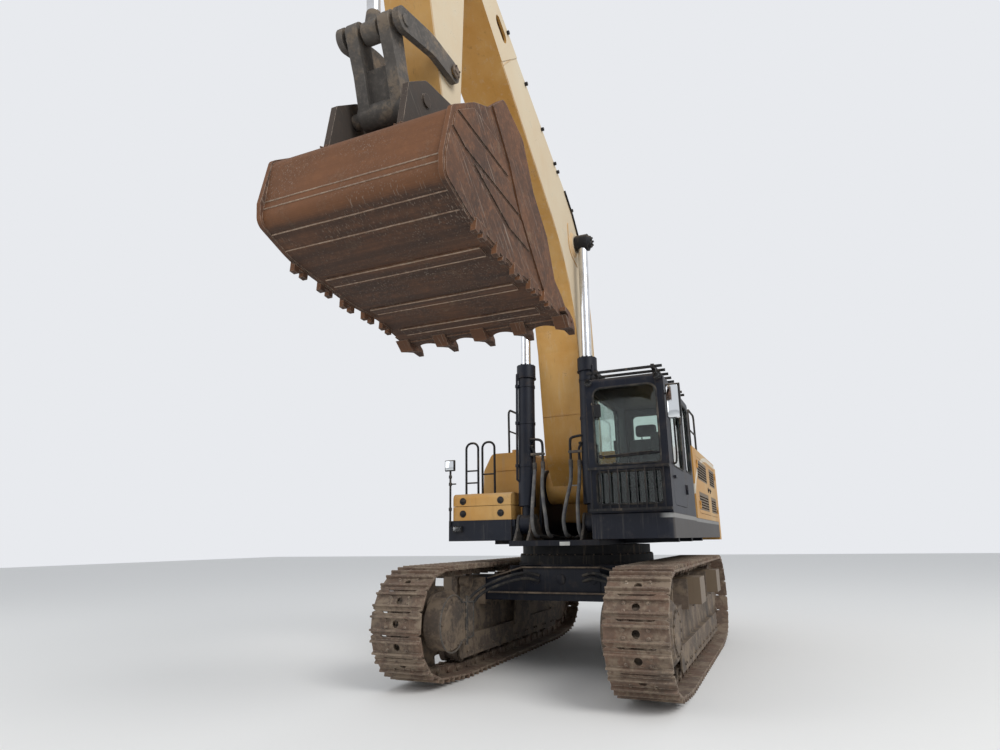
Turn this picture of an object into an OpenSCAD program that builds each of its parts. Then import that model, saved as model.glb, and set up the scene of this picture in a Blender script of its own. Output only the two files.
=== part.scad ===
// Crawler excavator of about seventy tonnes, boom raised and bucket curled.
// Millimetres. X runs across the machine with the cab at +X, -Y is its front, Z is up.
// Side views are drawn as [y, z]. Links have their own frames: s along the link, t above it.

/* [Machine] */
// From the model's origin back to the axis on which the upper part swings
swing_y = 970; // [0:10:2000]
// Gap between pieces that are bolted or welded to each other
seat = 0.3; // [0.1:0.1:0.6]

/* [Tracks] */
// Distance between the centre lines of the two tracks, drawn in for transport
track_gauge = 2714; // [2700:2:3400]
// Width of a track shoe
shoe_w = 650; // [600:10:750]
// Length that one shoe takes up on the chain
shoe_pitch = 260; // [230:5:280]
// Thickness of a shoe's plate
shoe_t = 22; // [16:1:30]
// Height of the two ribs across each shoe
grouser_h = 40; // [20:1:60]
// Height of the chain's rails above the shoes
rail_h = 95; // [70:1:110]
// Width of one rail of the chain
rail_w = 55; // [30:1:70]
// Distance of each rail from the middle of the track
rail_x = 95; // [80:1:120]
// Radius to the shoes' plates round the drive wheel and round the idler
wheel_r = 615; // [560:5:700]
// Height of the axles of the drive wheel and the idler
axle_z = 715; // [690:5:800]
// Drive wheel's axle, ahead of the swing axis
sprocket_y = 2460; // [2300:10:2700]
// Idler's axle, behind the swing axis
idler_y = 2280; // [2100:10:2600]
// Where the lower run leaves the ground towards the drive wheel
ground_front = 1850; // [1700:10:2000]
// Where the lower run leaves the ground towards the idler
ground_rear = 1700; // [1600:10:1900]
// Radius of the lower rollers
roller_r = 128; // [100:1:140]
// Number of lower rollers on a side
roller_n = 9; // [7:1:10]
// Radius of the carrier rollers
carrier_r = 85; // [60:1:100]
// Teeth of the drive wheel
teeth_n = 13; // [11:1:17]

/* [Frame between the tracks] */
// Height of the top plate that carries the swing ring
carbody_top = 1330; // [1300:5:1400]
// Underside of the cross beams
beam_low = 880; // [860:5:950]
// Top of the cross beams
beam_high = 1190; // [1100:5:1195]
// Length of a cross beam along the machine
beam_len = 440; // [300:10:500]
// Front beam's middle, ahead of the swing axis
beam_front = 980; // [900:10:1100]
// Rear beam's middle, behind the swing axis
beam_rear = 900; // [800:10:1100]
// How far a beam's end stands out past the middle of its track
beam_out = 405; // [300:5:450]
// Outer radius of the swing ring
ring_r = 980; // [900:10:1000]
// Height of the swing ring
ring_h = 250; // [150:5:280]

/* [Upper frame] */
// Thickness of the deck over the swing ring
deck_t = 70; // [40:5:100]
// Half the width of the deck's middle part
deck_x = 620; // [590:10:700]
// Front edge of the deck, ahead of the swing axis
deck_front = 1480; // [1400:10:1600]
// Height of the side skirts' lower edge
skirt_low = 1655; // [1550:5:1700]
// Height of the platforms on both sides
platform_z = 1935; // [1800:5:2000]
// Half the width of the machine's upper part
upper_x = 1620; // [1500:10:1700]
// Reach of the counterweight behind the swing axis
tail_y = 4165; // [3900:5:4500]
// Length of the counterweight
weight_len = 800; // [600:10:1000]
// Top of the counterweight and the hood over the engine
hood_z = 3000; // [2800:10:3200]
// Distance of the counterweight's lifting eyes from the middle
weight_eye_x = 900; // [600:10:1200]
// Thickness of a lifting eye
weight_eye_t = 60; // [40:5:80]
// Radius of the hole in a lifting eye
weight_eye_r = 35; // [20:1:45]
// Thickness of sheet panels, doors and lids
panel_t = 30; // [20:1:40]
// Gap round a door or a lid
door_gap = 6; // [5:0.5:10]

/* [Cab] */
// Inner side of the cab, from the middle of the machine
cab_in = 726; // [700:2:800]
// Outer side of the cab
cab_out = 1670; // [1600:2:1700]
// Front of the cab, ahead of the swing axis
cab_front = 2180; // [2000:10:2300]
// Rear of the cab, ahead of the swing axis
cab_rear = 230; // [150:10:500]
// Roof of the cab
cab_high = 3560; // [3400:10:3650]
// Thickness of the cab's walls and posts
cab_wall = 60; // [40:2:80]

/* [Boom] */
// Boom's foot pin: behind the cylinders' feet, ahead of the swing axis
boom_foot_y = -250; // [-400:10:-100]
// Height of the boom's foot pin
boom_foot_z = 2420; // [2300:10:2500]
// Length of the boom from pin to pin
boom_len = 7400; // [7100:10:7700]
// Angle of the boom over the ground, as it stands
boom_tilt = 53; // [50:0.5:56]
// Width of the boom
boom_w = 620; // [560:10:680]
// Thickness of the boom's and the arm's plates
plate_t = 22; // [14:1:30]
// Distance of the boom's cylinders from the middle
cylinder_x = 465; // [455:1:480]
// Feet of the boom's cylinders, as seen from the side
cylinder_foot_y = -1180; // [-1220:10:-1140]
// Height of the boom cylinders' feet
cylinder_foot_z = 1870; // [1850:10:1900]

/* [Arm] */
// Length of the arm from pin to pin
arm_len = 2910; // [2800:10:3100]
// Angle of the arm, as it stands
arm_tilt = -88.6; // [-92:0.2:-86]
// Width of the arm
arm_w = 500; // [440:10:560]

/* [Bucket] */
// Angle of the line from the bucket's pin to its teeth, as it stands
bucket_tilt = -132.8; // [-136:0.2:-130]
// Half the width of the bucket at its mouth
bucket_x = 930; // [850:5:1000]
// Half the width of the bucket at its back
bucket_back_x = 860; // [800:5:920]
// Thickness of the bucket's side plates
bucket_side_t = 40; // [25:1:60]
// Thickness of the bucket's rolled back and floor
bucket_wrap_t = 36; // [20:1:50]
// Number of teeth
tooth_n = 5; // [3:1:7]
// Length of a tooth ahead of the lip
tooth_len = 265; // [220:5:300]

/* [Hidden] */
$fn = 48;

ochre = [0.74, 0.55, 0.25];
navy = [0.09, 0.10, 0.15];
dusty = [0.50, 0.43, 0.36];
rust = [0.40, 0.25, 0.18];
chrome = [0.80, 0.81, 0.83];
pane = [0.35, 0.45, 0.42];
black = [0.12, 0.12, 0.12];

pin_fit = 0.3;
rod_fit = 0.5;
slide_gap = 6;

// Point of a link's frame at [s, t], as [y, z] of the machine
function on_link(p, a, q) =
    [p.x - q.x * cos(a) + q.y * sin(a), p.y + q.x * sin(a) + q.y * cos(a)];
// Angle over the ground of the line from p forward to q
function lean(p, q) = atan2(q.y - p.y, p.x - q.x);
function span(p, q) = norm(q - p);

// Outline from rows of [x, y, radius], with each corner rounded to its radius
function unit(v) = v / norm(v);
function corner(a, b, c, r) =
    let (u = unit(a - b), v = unit(c - b), half = acos(min(1, max(-1, u * v))) / 2,
        reach = min(r / tan(half), norm(a - b) * 0.499, norm(c - b) * 0.499), rr = reach * tan(half),
        mid = b + unit(u + v) * rr / sin(half), turn = 180 - 2 * half, side = sign(u.x * v.y - u.y * v.x),
        first = b + u * reach - mid, steps = max(2, ceil(turn / 9)))
    [for (i = [0 : steps]) let (w = -side * turn * i / steps)
        mid + [first.x * cos(w) - first.y * sin(w), first.x * sin(w) + first.y * cos(w)]];
function rounded(rows) =
    [for (i = [0 : len(rows) - 1])
        let (n = len(rows), p = rows[(i + n - 1) % n], q = rows[i], s = rows[(i + 1) % n])
        each q[2] > 0 ? corner([p.x, p.y], [q.x, q.y], [s.x, s.y], q[2]) : [[q.x, q.y]]];
// The same rows with every side moved inwards by d, or by the row's fourth value for the side
// that follows it; the rows run anticlockwise
function cross2(a, b) = a.x * b.y - a.y * b.x;
function depth(row, d) = len(row) > 3 ? row[3] : d;
function inset(rows, d) =
    [for (i = [0 : len(rows) - 1])
        let (n = len(rows), p = rows[(i + n - 1) % n], q = rows[i], s = rows[(i + 1) % n],
            u = unit([q.x - p.x, q.y - p.y]), v = unit([s.x - q.x, s.y - q.y]), k = cross2(u, v),
            m = abs(k) < 0.001 ? [-u.y, u.x] * depth(p, d) : (v * depth(p, d) - u * depth(q, d)) / k,
            bend = k > 0 ? -d : d)
        [q.x + m.x, q.y + m.y, q[2] > 0 ? max(1, q[2] + bend) : 0]];

module at_swing() translate([0, swing_y, 0]) children();
// A side view [y, z] made w wide about the machine's middle, or moved to x
module slab(w, x = 0) translate([x - w / 2, 0, 0]) rotate([90, 0, 90]) linear_extrude(w) children();
module link_frame(p, a) translate([0, p.x, p.y]) mirror([0, 1, 0]) rotate([a, 0, 0]) children();
// A round bar across the machine through [y, z]
module across(q, r, w, x = 0) translate([x, q.x, q.y]) rotate([0, 90, 0]) cylinder(r = r, h = w, center = true);
module both_sides() { children(); mirror([1, 0, 0]) children(); }
module block(a, b) translate(a) cube(b - a);

// Pins of the linkage, as [y, z] of the machine
boom_foot = [boom_foot_y, boom_foot_z];
cylinder_foot = [cylinder_foot_y, cylinder_foot_z];
boom_eye = on_link(boom_foot, boom_tilt, [3285, 1540]);
boom_tip = on_link(boom_foot, boom_tilt, [boom_len, 0]);
arm_foot = on_link(boom_foot, boom_tilt, [4100, 2080]);
arm_eye_at = [-900, 380];
arm_eye = on_link(boom_tip, arm_tilt, arm_eye_at);
bucket_foot_at = [-350, 1250];
bucket_foot = on_link(boom_tip, arm_tilt, bucket_foot_at);
link_pin_at = [arm_len - 697, 107];
link_pin = on_link(boom_tip, arm_tilt, link_pin_at);
rod_pin = on_link(boom_tip, arm_tilt, [arm_len - 525, 993]);
bucket_pin = on_link(boom_tip, arm_tilt, [arm_len, 0]);
ear_at = [-425, 614];
ear_pin = on_link(bucket_pin, bucket_tilt, ear_at);

// Belt round circles [y, z, r], which are listed anticlockwise: each stretch is
// [kind, start, end or centre, radius, first angle, last angle, length]
belt_circles = [[-sprocket_y, axle_z, wheel_r], [-ground_front, grouser_h + 300, 300],
    [ground_rear, grouser_h + 300, 300], [idler_y, axle_z, wheel_r]];
function wrap(a) = a < 0 ? a + 360 : a >= 360 ? a - 360 : a;
function normal_of(c, d) =
    let (v = [d.x - c.x, d.y - c.y]) atan2(v.y, v.x) - acos((c[2] - d[2]) / norm(v));
belt_normals = [for (i = [0 : 3]) normal_of(belt_circles[i], belt_circles[(i + 1) % 4])];
belt_turns = [for (i = [0 : 3]) wrap(belt_normals[i] - belt_normals[(i + 3) % 4])];
function on_circle(c, a) = [c.x + c[2] * cos(a), c.y + c[2] * sin(a)];
belt_arcs = [for (i = [0 : 3]) belt_circles[i][2] * belt_turns[i] * PI / 180];
belt_runs = [for (i = [0 : 3]) norm(on_circle(belt_circles[i], belt_normals[i])
    - on_circle(belt_circles[(i + 1) % 4], belt_normals[i]))];
function total(v, n) = n == 0 ? 0 : v[n - 1] + total(v, n - 1);
belt_len = total(belt_arcs, 4) + total(belt_runs, 4);
shoe_n = round(belt_len / shoe_pitch);
// Point and outward angle at length u along the belt, moved inwards by d
function belt_at(u, d, i = 0) =
    let (c = belt_circles[i], a = belt_normals[(i + 3) % 4])
    u <= belt_arcs[i]
        ? let (w = a + u / c[2] * 180 / PI) on_circle([c.x, c.y, c[2] - d], w)
        : u <= belt_arcs[i] + belt_runs[i] || i == 3
            ? let (w = belt_normals[i], r = u - belt_arcs[i])
                on_circle([c.x, c.y, c[2] - d], w) + r * [-sin(w), cos(w)]
            : belt_at(u - belt_arcs[i] - belt_runs[i], d, i + 1);
function joint_at(i, d) = belt_at(belt_len * (i % shoe_n) / shoe_n, d);
// One shoe's outline from joint to joint: share of the pitch, height over the plate
shoe_rows = [[0, -12], [0.17, 0], [0.2, grouser_h], [0.25, grouser_h], [0.28, 0],
    [0.72, 0], [0.75, grouser_h], [0.8, grouser_h], [0.83, 0]];
shoe_points = [for (i = [0 : shoe_n - 1])
    let (a = joint_at(i, 0), b = joint_at(i + 1, 0), u = b - a, v = unit([u.y, -u.x]))
    each [for (row = shoe_rows) a + u * row.x + v * row.y]];
function ring_points(d) = [for (i = [0 : shoe_n - 1]) joint_at(i, d)];

chain_r = wheel_r - shoe_t - rail_h;
tread_r = sqrt(pow(chain_r, 2) - pow(shoe_pitch / 2, 2)) - rod_fit;
run_low = grouser_h + shoe_t + rail_h;
run_high = axle_z + wheel_r - shoe_t - rail_h;
roller_z = run_low + roller_r + seat;
carrier_z = run_high - carrier_r - seat;
carrier_places = [-1400, -50, 1330];
roller_places = [for (i = [0 : roller_n - 1])
    -ground_front + 170 + i * (ground_front + ground_rear - 340) / (roller_n - 1)];
track_sides = [-track_gauge / 2, track_gauge / 2];

module track_ring() {
    slab(shoe_w) difference() { polygon(shoe_points); polygon(ring_points(shoe_t)); }
    for (x = [-rail_x, rail_x])
        slab(rail_w, x) difference() { polygon(ring_points(shoe_t / 2)); polygon(ring_points(shoe_t + rail_h)); }
}
module track_left() color(dusty) at_swing() translate([track_gauge / 2, 0, 0]) track_ring();
module track_right() color(dusty) at_swing() translate([-track_gauge / 2, 0, 0]) track_ring();

// Side frame of one track: a box with a sloping roof, forks for the wheels and roller guards
frame_half = 170;
guard_x = 225;
guard_t = 20;
box_low = roller_z + roller_r + 20;
box_high = 880;
frame_rows = [[-1880, box_low + 40, 0], [1560, box_low + 40, 0], [1560, 780, 60], [1300, box_high, 60],
    [-1450, box_high, 60], [-1880, 760, 60]];
module fork(x, t) slab(t, x)
    polygon(rounded([[1500, box_low + 60, 0], [idler_y + 120, axle_z - 130, 100],
        [idler_y + 120, axle_z + 130, 100], [1500, 800, 0]]));
module drive_plate(x, t) slab(t, x)
    difference() {
        polygon(rounded([[-1820, box_low + 50, 0], [-1820, 860, 0], [-2100, 1080, 200],
            [-sprocket_y - 170, 1040, 200], [-sprocket_y - 260, axle_z, 200],
            [-sprocket_y - 80, axle_z - 330, 200]]));
        translate([-sprocket_y, axle_z]) circle(r = 240);
    }
module track_frame() {
    slab(2 * frame_half) polygon(rounded(frame_rows));
    for (x = [-1, 1]) {
        slab(guard_t, x * guard_x)
            polygon(rounded([[-1930, roller_z - 60, 60], [1740, roller_z - 60, 60], [1740, box_low + 60, 0],
                [-1930, box_low + 60, 0]]));
        translate([x * (frame_half + guard_x) / 2, 0, 0])
            block([-(guard_x - frame_half) / 2 - 5, -1880, box_low + 40],
                [(guard_x - frame_half) / 2 + 5, 1560, box_low + 60]);
        fork(x * 150, 40);
    }
    drive_plate(-190, 40);
    slab(20, -guard_x - 30) polygon(rounded([[-200, box_low + 10, 0], [500, box_low + 10, 0],
        [440, box_high - 20, 60], [-140, box_high - 20, 60]]));
    block([-guard_x - 25, -200, box_low + 40], [-guard_x + 5, 500, box_low + 60]);
    for (y = [-beam_front, beam_rear]) beam_pocket(y);
    for (y = carrier_places) block([60, y - 40, box_high - 10], [100, y + 40, carrier_z - 40]);
    for (y = carrier_places) across([y, carrier_z], 60, 60 - 2 * seat, 80);
}
// Housing through which a cross beam passes, open at both ends
module beam_pocket(y) {
    for (k = [-1, 1])
        slab(2 * guard_x + 60) translate([y + k * (beam_len / 2 + 16 + seat), 0])
            polygon([[-16, box_high - 60], [16, box_high - 60], [16, beam_high - 20], [-16, beam_high - 20]]);
    block([-guard_x - 30, y - beam_len / 2 - 32, beam_low - 40],
        [guard_x + 30, y + beam_len / 2 + 32, beam_low]);
}
module track_frames() color(dusty) at_swing() both_sides() translate([track_gauge / 2, 0, 0]) track_frame();

module roller(y) {
    for (x = [-1, 1]) across([y, roller_z], roller_r, rail_w + 16, x * (rail_x + 2));
    across([y, roller_z], roller_r - 30, 2 * rail_x);
    across([y, roller_z], 45, 2 * (guard_x - guard_t / 2 - seat));
}
module carrier(y) {
    across([y, carrier_z], carrier_r, rail_w, -rail_x);
    across([y, carrier_z], carrier_r - 25, rail_x + 50 - seat, -rail_x / 2);
}
module rollers() color(dusty) at_swing() both_sides() translate([track_gauge / 2, 0, 0]) {
    for (y = roller_places) roller(y);
    for (y = carrier_places) carrier(y);
}

// Drive wheel with its teeth between the chain's rails, and the hub's domed cover outside
tooth_r = wheel_r - 50;
root_r = tread_r - 20;
function tooth_points() = [for (i = [0 : teeth_n - 1]) each [for (q = [[0, root_r], [0.3, root_r],
    [0.42, tooth_r], [0.58, tooth_r], [0.7, root_r]])
    let (a = 360 * (i + q.x) / teeth_n) q.y * [cos(a), sin(a)]]];
module sprocket() {
    slab(2 * rail_x - rail_w - 20) translate([-sprocket_y, axle_z]) polygon(tooth_points());
    across([-sprocket_y, axle_z], root_r - 70, 150, 40);
    across([-sprocket_y, axle_z], 200, 300 + 210 - seat, 45 + seat / 2);
    across([-sprocket_y, axle_z], 320, 230, 130);
    translate([245, -sprocket_y, axle_z]) rotate([0, 90, 0]) cylinder(r1 = 320, r2 = 270, h = 45);
}
module sprockets() color(dusty) at_swing() both_sides() translate([track_gauge / 2, 0, 0]) sprocket();

module idler() {
    across([idler_y, axle_z], tread_r, 2 * (rail_x - rail_w / 2) + 90);
    across([idler_y, axle_z], tread_r - 40 + 55, 2 * rail_x - rail_w - 20);
    across([idler_y, axle_z], 90, 2 * (130 - seat));
}
module idlers() color(dusty) at_swing() both_sides() translate([track_gauge / 2, 0, 0]) idler();

// Cover over the travel motor, inboard of the drive wheel
module travel_motors() color(dusty) at_swing() both_sides() translate([track_gauge / 2, 0, 0]) {
    slab(205 - seat, -shoe_w / 2 - 90 + (205 - seat) / 2) polygon(rounded([
        [-sprocket_y - 340, axle_z - 340, 338], [-1900, axle_z - 215, 50],
        [-1900, axle_z + 215, 50], [-sprocket_y - 340, axle_z + 340, 338]]));
    translate([-shoe_w / 2 - 98, -sprocket_y, axle_z]) rotate([0, 90, 0]) cylinder(r1 = 200, r2 = 215, h = 10);
}

// Frame between the tracks: two cross beams, four sloping legs and a round tower
module carbody() color(navy) at_swing() {
    for (y = [-beam_front, beam_rear])
        block([-track_gauge / 2 - beam_out, y - beam_len / 2, beam_low + seat],
            [track_gauge / 2 + beam_out, y + beam_len / 2, beam_high]);
    block([-700, -beam_front, beam_low + 20], [700, beam_rear, beam_high]);
    translate([0, 0, beam_high - 60]) cylinder(r = ring_r - 120, h = carbody_top - beam_high + 60);
    translate([0, 0, carbody_top - 30]) cylinder(r = ring_r + 20, h = 30);
    for (k = [-1, 1]) for (m = [-1, 1])
        translate([k * 500, m > 0 ? beam_rear : -beam_front, beam_high - 10])
            rotate([0, 0, m * k * 40 + 90]) translate([-30, -300, 0]) cube([60, 600, carbody_top - beam_high + 5]);
    for (x = [-700, 700]) slab(40, x) difference() {
        polygon(rounded([[-beam_front - 160, beam_high - 5, 0], [-beam_front + 60, beam_high - 5, 0],
            [-beam_front + 10, beam_high + 130, 60], [-beam_front - 130, beam_high + 130, 60]]));
        translate([-beam_front - 60, beam_high + 65]) circle(r = 35);
    }
    translate([0, 0, carbody_top - 10]) cylinder(r = 190, h = 330);
}

module swing_ring() color(black) at_swing() translate([0, 0, carbody_top + seat]) {
    difference() {
        union() {
            cylinder(r = ring_r, h = ring_h / 2 - 6);
            translate([0, 0, ring_h / 2 - 7]) cylinder(r = ring_r - 40, h = ring_h / 2 + 7 - seat);
        }
        translate([0, 0, -1]) cylinder(r = ring_r - 200, h = ring_h + 2);
    }
}

deck_low = carbody_top + ring_h + seat;
deck_top = deck_low + deck_t;
web_x = 450;
web_t = 40;
foot_r = 260;
// Webs that carry the boom's foot
web_rows = [[-760, deck_top - 10, 0], [2900, deck_top - 10, 0], [2900, platform_z - 20, 0],
    [330, platform_z - 20, 0], [280, 2350, 120], [60, 2680, 220], [-560, 2680, 260]];
module foot_bracket(x) slab(30, x)
    polygon(rounded([[cylinder_foot_y - 270, deck_top + seat, 0], [cylinder_foot_y + 350, deck_top + seat, 0],
        [cylinder_foot_y + 150, cylinder_foot_z + 60, 60], [cylinder_foot_y + 120, cylinder_foot_z + 130, 110],
        [cylinder_foot_y - 120, cylinder_foot_z + 130, 110], [cylinder_foot_y - 150, cylinder_foot_z - 60, 60]]));
module upper_frame() color(navy) at_swing() {
    difference() {
        block([-deck_x, -deck_front, deck_low], [deck_x, tail_y - weight_len + 300, deck_top]);
        translate([0, 0, deck_low - 1]) cylinder(r = 300, h = deck_t + 2);
    }
    both_sides() {
        slab(web_t, web_x) polygon(rounded(web_rows));
        block([deck_x - 10, -300, platform_z - 90], [upper_x - skirt_t - seat, tail_y - weight_len - 10, platform_z]);
        for (y = [-200, 1100, 2400]) block([deck_x - 10, y, deck_low + 20], [1400, y + 120, platform_z - 80]);
    }
    block([cab_in + 40, -cab_front + skirt_front + seat, platform_z - 90], [cab_out - skirt_t - seat, -290, platform_z]);
    block([deck_x - 10, -1250, platform_z - 200], [900, -1100, platform_z - 80]);
    block([-900, -1250, platform_z - 200], [-deck_x + 10, -1100, platform_z - 80]);
    block([-upper_x + skirt_t + seat, -box_front + 10 + seat, platform_z - 90], [-deck_x + 10, -290, platform_z]);
    across(boom_foot, 75, 2 * (web_x + 60));
}

// Forks on the deck that hold the feet of the boom's cylinders
module cylinder_feet() color(navy) at_swing() both_sides() {
    for (x = [-95, 95]) foot_bracket(cylinder_x + x);
    across(cylinder_foot, 60, 2 * 110, cylinder_x);
}

weight_top = hood_z - 60;
weight_eye_y = tail_y - 420;
// Side view of the counterweight: raised at its tail, with a sloping top
weight_rows = [[tail_y - weight_len, skirt_low - 40, 0], [tail_y - 260, skirt_low - 40, 120],
    [tail_y, skirt_low + 170, 200], [tail_y, weight_top - 420, 300], [tail_y - 240, weight_top, 220],
    [tail_y - weight_len, weight_top, 0]];
module counterweight() color(ochre) at_swing() {
    for (x = [-weight_eye_x, weight_eye_x]) slab(weight_eye_t, x) difference() {
        polygon(rounded([[weight_eye_y - 150, weight_top - 5, 0], [weight_eye_y + 150, weight_top - 5, 0],
            [weight_eye_y + 75, weight_top + 150, 74], [weight_eye_y - 75, weight_top + 150, 74]]));
        translate([weight_eye_y, weight_top + 75]) circle(r = weight_eye_r);
    }
    weight_body();
}
weight_plan = [[-upper_x, tail_y - weight_len, 0], [upper_x, tail_y - weight_len, 0],
    [upper_x, tail_y - 330, 420], [900, tail_y, 700], [-900, tail_y, 700], [-upper_x, tail_y - 330, 420]];
module weight_body() difference() {
    intersection() {
        slab(2 * upper_x) polygon(rounded(weight_rows));
        translate([0, 0, skirt_low - 60]) linear_extrude(hood_z - skirt_low + 60) polygon(rounded(weight_plan));
    }
    block([-deck_x - seat, tail_y - weight_len - 1, deck_low - seat],
        [deck_x + seat, tail_y - weight_len + 300 + seat, deck_top + seat]);
}

engine_y = [1500, 2900];
module engine() color(black) at_swing()
    block([-web_x + web_t, engine_y[0], deck_top + seat], [web_x - web_t, engine_y[1], 2700]);

// Fixed panels round the engine, as a shell open below
hood_front = 350;
hood_rear = tail_y - weight_len - seat;
module hood() color(ochre) at_swing() {
    difference() {
        block([-upper_x, hood_front, platform_z + seat], [upper_x, hood_rear, hood_z]);
        block([-upper_x + panel_t, hood_front + panel_t, platform_z - 1], [upper_x - panel_t, hood_rear - panel_t, hood_z - panel_t]);
        for (d = side_doors)
            block([upper_x - panel_t - 1, d[0] - door_gap, d_low - door_gap], [upper_x + 1, d[1] + door_gap, d_high + door_gap]);
        block([-upper_x - 1, pump_y[0] - door_gap, d_low - door_gap], [-upper_x + panel_t + 1, pump_y[1] + door_gap, d_high + door_gap]);
        block([-lid_x - door_gap, lid_y[0] - door_gap, hood_z - panel_t - 1], [lid_x + door_gap, lid_y[1] + door_gap, hood_z + 1]);
    }
    side_hinge(upper_x, side_doors[0][0], -1, false);
    side_hinge(upper_x, side_doors[1][1], 1, false);
    mirror([1, 0, 0]) side_hinge(upper_x, pump_y[1], 1, false);
    for (x = [-500, 500]) across([lid_y[1] + hinge_off, hood_z + hinge_off], hinge_r, 60, x - 30.2);
    for (x = [-500, 500]) block([x - 61, lid_y[1] + hinge_off, hood_z - 5], [x - 1, lid_y[1] + 70, hood_z + hinge_off]);
}
// Silencer's outlet: an upright pipe on a flange, with its end bent to the rear
exhaust_r = 80;
exhaust_bend = 150;
module pipe_ring(x = 0) translate([x, 0]) difference() { circle(r = exhaust_r); circle(r = exhaust_r - 8); }
module exhaust() color(black) at_swing() translate([-1000, 2450, hood_z + seat]) {
    difference() {
        cylinder(r = exhaust_r + 50, h = 20);
        translate([0, 0, -1]) cylinder(r = exhaust_r - 8, h = 22);
    }
    linear_extrude(260) pipe_ring();
    translate([0, exhaust_bend, 260]) rotate([90, 0, -90]) rotate_extrude(angle = 65) pipe_ring(exhaust_bend);
}

// Louvre: slanting slots through a wall across X, between two values of y and of z
slot_pitch = 42;
slot_h = 16;
module louvre(x, y, z) for (i = [0 : floor((z[1] - z[0]) / slot_pitch) - 1])
    translate([x, y[0], z[0] + (i + 0.5) * slot_pitch]) rotate([0, 40, 0])
        translate([-3 * panel_t, 0, -slot_h / 2]) cube([6 * panel_t, y[1] - y[0], slot_h]);
louvre_high = [2550, 2830];
louvre_low = [2085, 2330];
// A door in a side wall, with two louvres that start and end clear of its edges
module louvred_door(y, front, rear) difference() {
    door_panel(upper_x - panel_t / 2, y[0], y[1]);
    for (z = [louvre_high, louvre_low]) louvre(upper_x, [y[0] + front, y[1] - rear], z);
}

// Knuckle hinges. The edge of a door at x is seen at y, and away is the side on which its wall lies
hinge_r = 12;
hinge_off = 14;
knuckle = 60;
module knuckles(x, y, away, z, on_door) {
    at = z + (on_door ? knuckle / 2 + seat / 2 : -knuckle / 2 - seat / 2);
    translate([x + hinge_off, y + away * door_gap / 2, at]) {
        cylinder(r = hinge_r, h = knuckle, center = true);
        translate([-hinge_off - 5, on_door ? (away > 0 ? -45 : 0) : (away > 0 ? 0 : -45), -knuckle / 2])
            cube([hinge_off + 5, 45, knuckle]);
    }
}
module side_hinge(x, y, away, on_door)
    for (z = [d_low + 120, d_high - 120]) knuckles(x, y, away, z, on_door);
side_doors = [[700, 2120], [2260, 3280]];
pump_y = [1500, 3200];
d_low = 2020;
d_high = 2880;
lid_x = 820;
lid_y = [1250, 3000];
module door_panel(x, y0, y1) block([x - panel_t / 2, y0, d_low], [x + panel_t / 2, y1, d_high]);
module side_door_front() color(ochre) at_swing() {
    louvred_door(side_doors[0], 80, 160);
    side_hinge(upper_x, side_doors[0][0], -1, true);
}
module side_door_rear() color(ochre) at_swing() {
    louvred_door(side_doors[1], 160, 100);
    side_hinge(upper_x, side_doors[1][1], 1, true);
}
module pump_door() color(ochre) at_swing() mirror([1, 0, 0]) {
    louvred_door(pump_y, 160, 160);
    side_hinge(upper_x, pump_y[1], 1, true);
}
module hood_lid() color(ochre) at_swing() {
    difference() {
        block([-lid_x, lid_y[0], hood_z - panel_t], [lid_x, lid_y[1], hood_z]);
        for (x = [-lid_x / 2, lid_x / 2]) for (i = [0 : 11])
            block([x - 290, lid_y[0] + 150 + i * 120, hood_z - panel_t - 1], [x + 290, lid_y[0] + 190 + i * 120, hood_z + 1]);
    }
    for (x = [-500, 500]) across([lid_y[1] + hinge_off, hood_z + hinge_off], hinge_r, 60, x + 30.2);
    for (x = [-500, 500]) {
        block([x + 1, lid_y[1] - 60, hood_z - 5], [x + 61, lid_y[1], hood_z + hinge_off]);
        block([x + 1, lid_y[1] - 1, hood_z + 6], [x + 61, lid_y[1] + hinge_off, hood_z + hinge_off]);
    }
}

tank_in = 640;
tank_top = 2960;
module tanks() color(ochre) at_swing() {
    for (y = [-250, 80]) translate([-1000, y, tank_top - 5]) {
        cylinder(r = 75, h = 35);
        cylinder(r = 55, h = 85);
    }
    tank_box();
    block([-1230, -572, 2690], [-830, -550, 2725]);
}
module tank_box()
    translate([0, -560, 0]) rotate([-90, 0, 0]) mirror([0, 1, 0]) linear_extrude(560 + hood_front - seat)
        polygon(rounded([[-1430, platform_z + seat, 0], [-tank_in, platform_z + seat, 0], [-tank_in, tank_top, 60],
            [-1270, tank_top, 90], [-1410, 2700, 90]]));

box_front = 1290;
box_rear = 930;
box_seam = 2130;
module toolbox() color(ochre) at_swing() {
    lid_hinge(false);
    difference() {
        block([-1560, -box_front, platform_z + seat], [-660, -box_rear, box_seam]);
        block([-1560 + panel_t, -box_front + panel_t, platform_z + panel_t], [-660 - panel_t, -box_rear - panel_t, box_seam + 1]);
    }
}
box_top = 2310;
module lid_hinge(on_lid) for (x = [-1400, -820]) translate([x + (on_lid ? 30.2 : -30.2), 0, 0]) {
    across([-box_rear + hinge_off, box_top + hinge_off], hinge_r, 60);
    if (on_lid) block([-30, -box_rear - 40, box_top - 5], [30, -box_rear + hinge_off, box_top + hinge_off]);
    else {
        block([-30, -box_rear + 6, box_seam - 80], [30, -box_rear + hinge_off + hinge_r, box_top + hinge_off]);
        block([-30, -box_rear - 4, box_seam - 80], [30, -box_rear + 10, box_seam - 20]);
    }
}
lid_rows = [[-box_front, box_seam + door_gap, 0], [-box_rear, box_seam + door_gap, 0], [-box_rear, box_top, 0],
    [-box_front, box_top, 70]];
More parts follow.
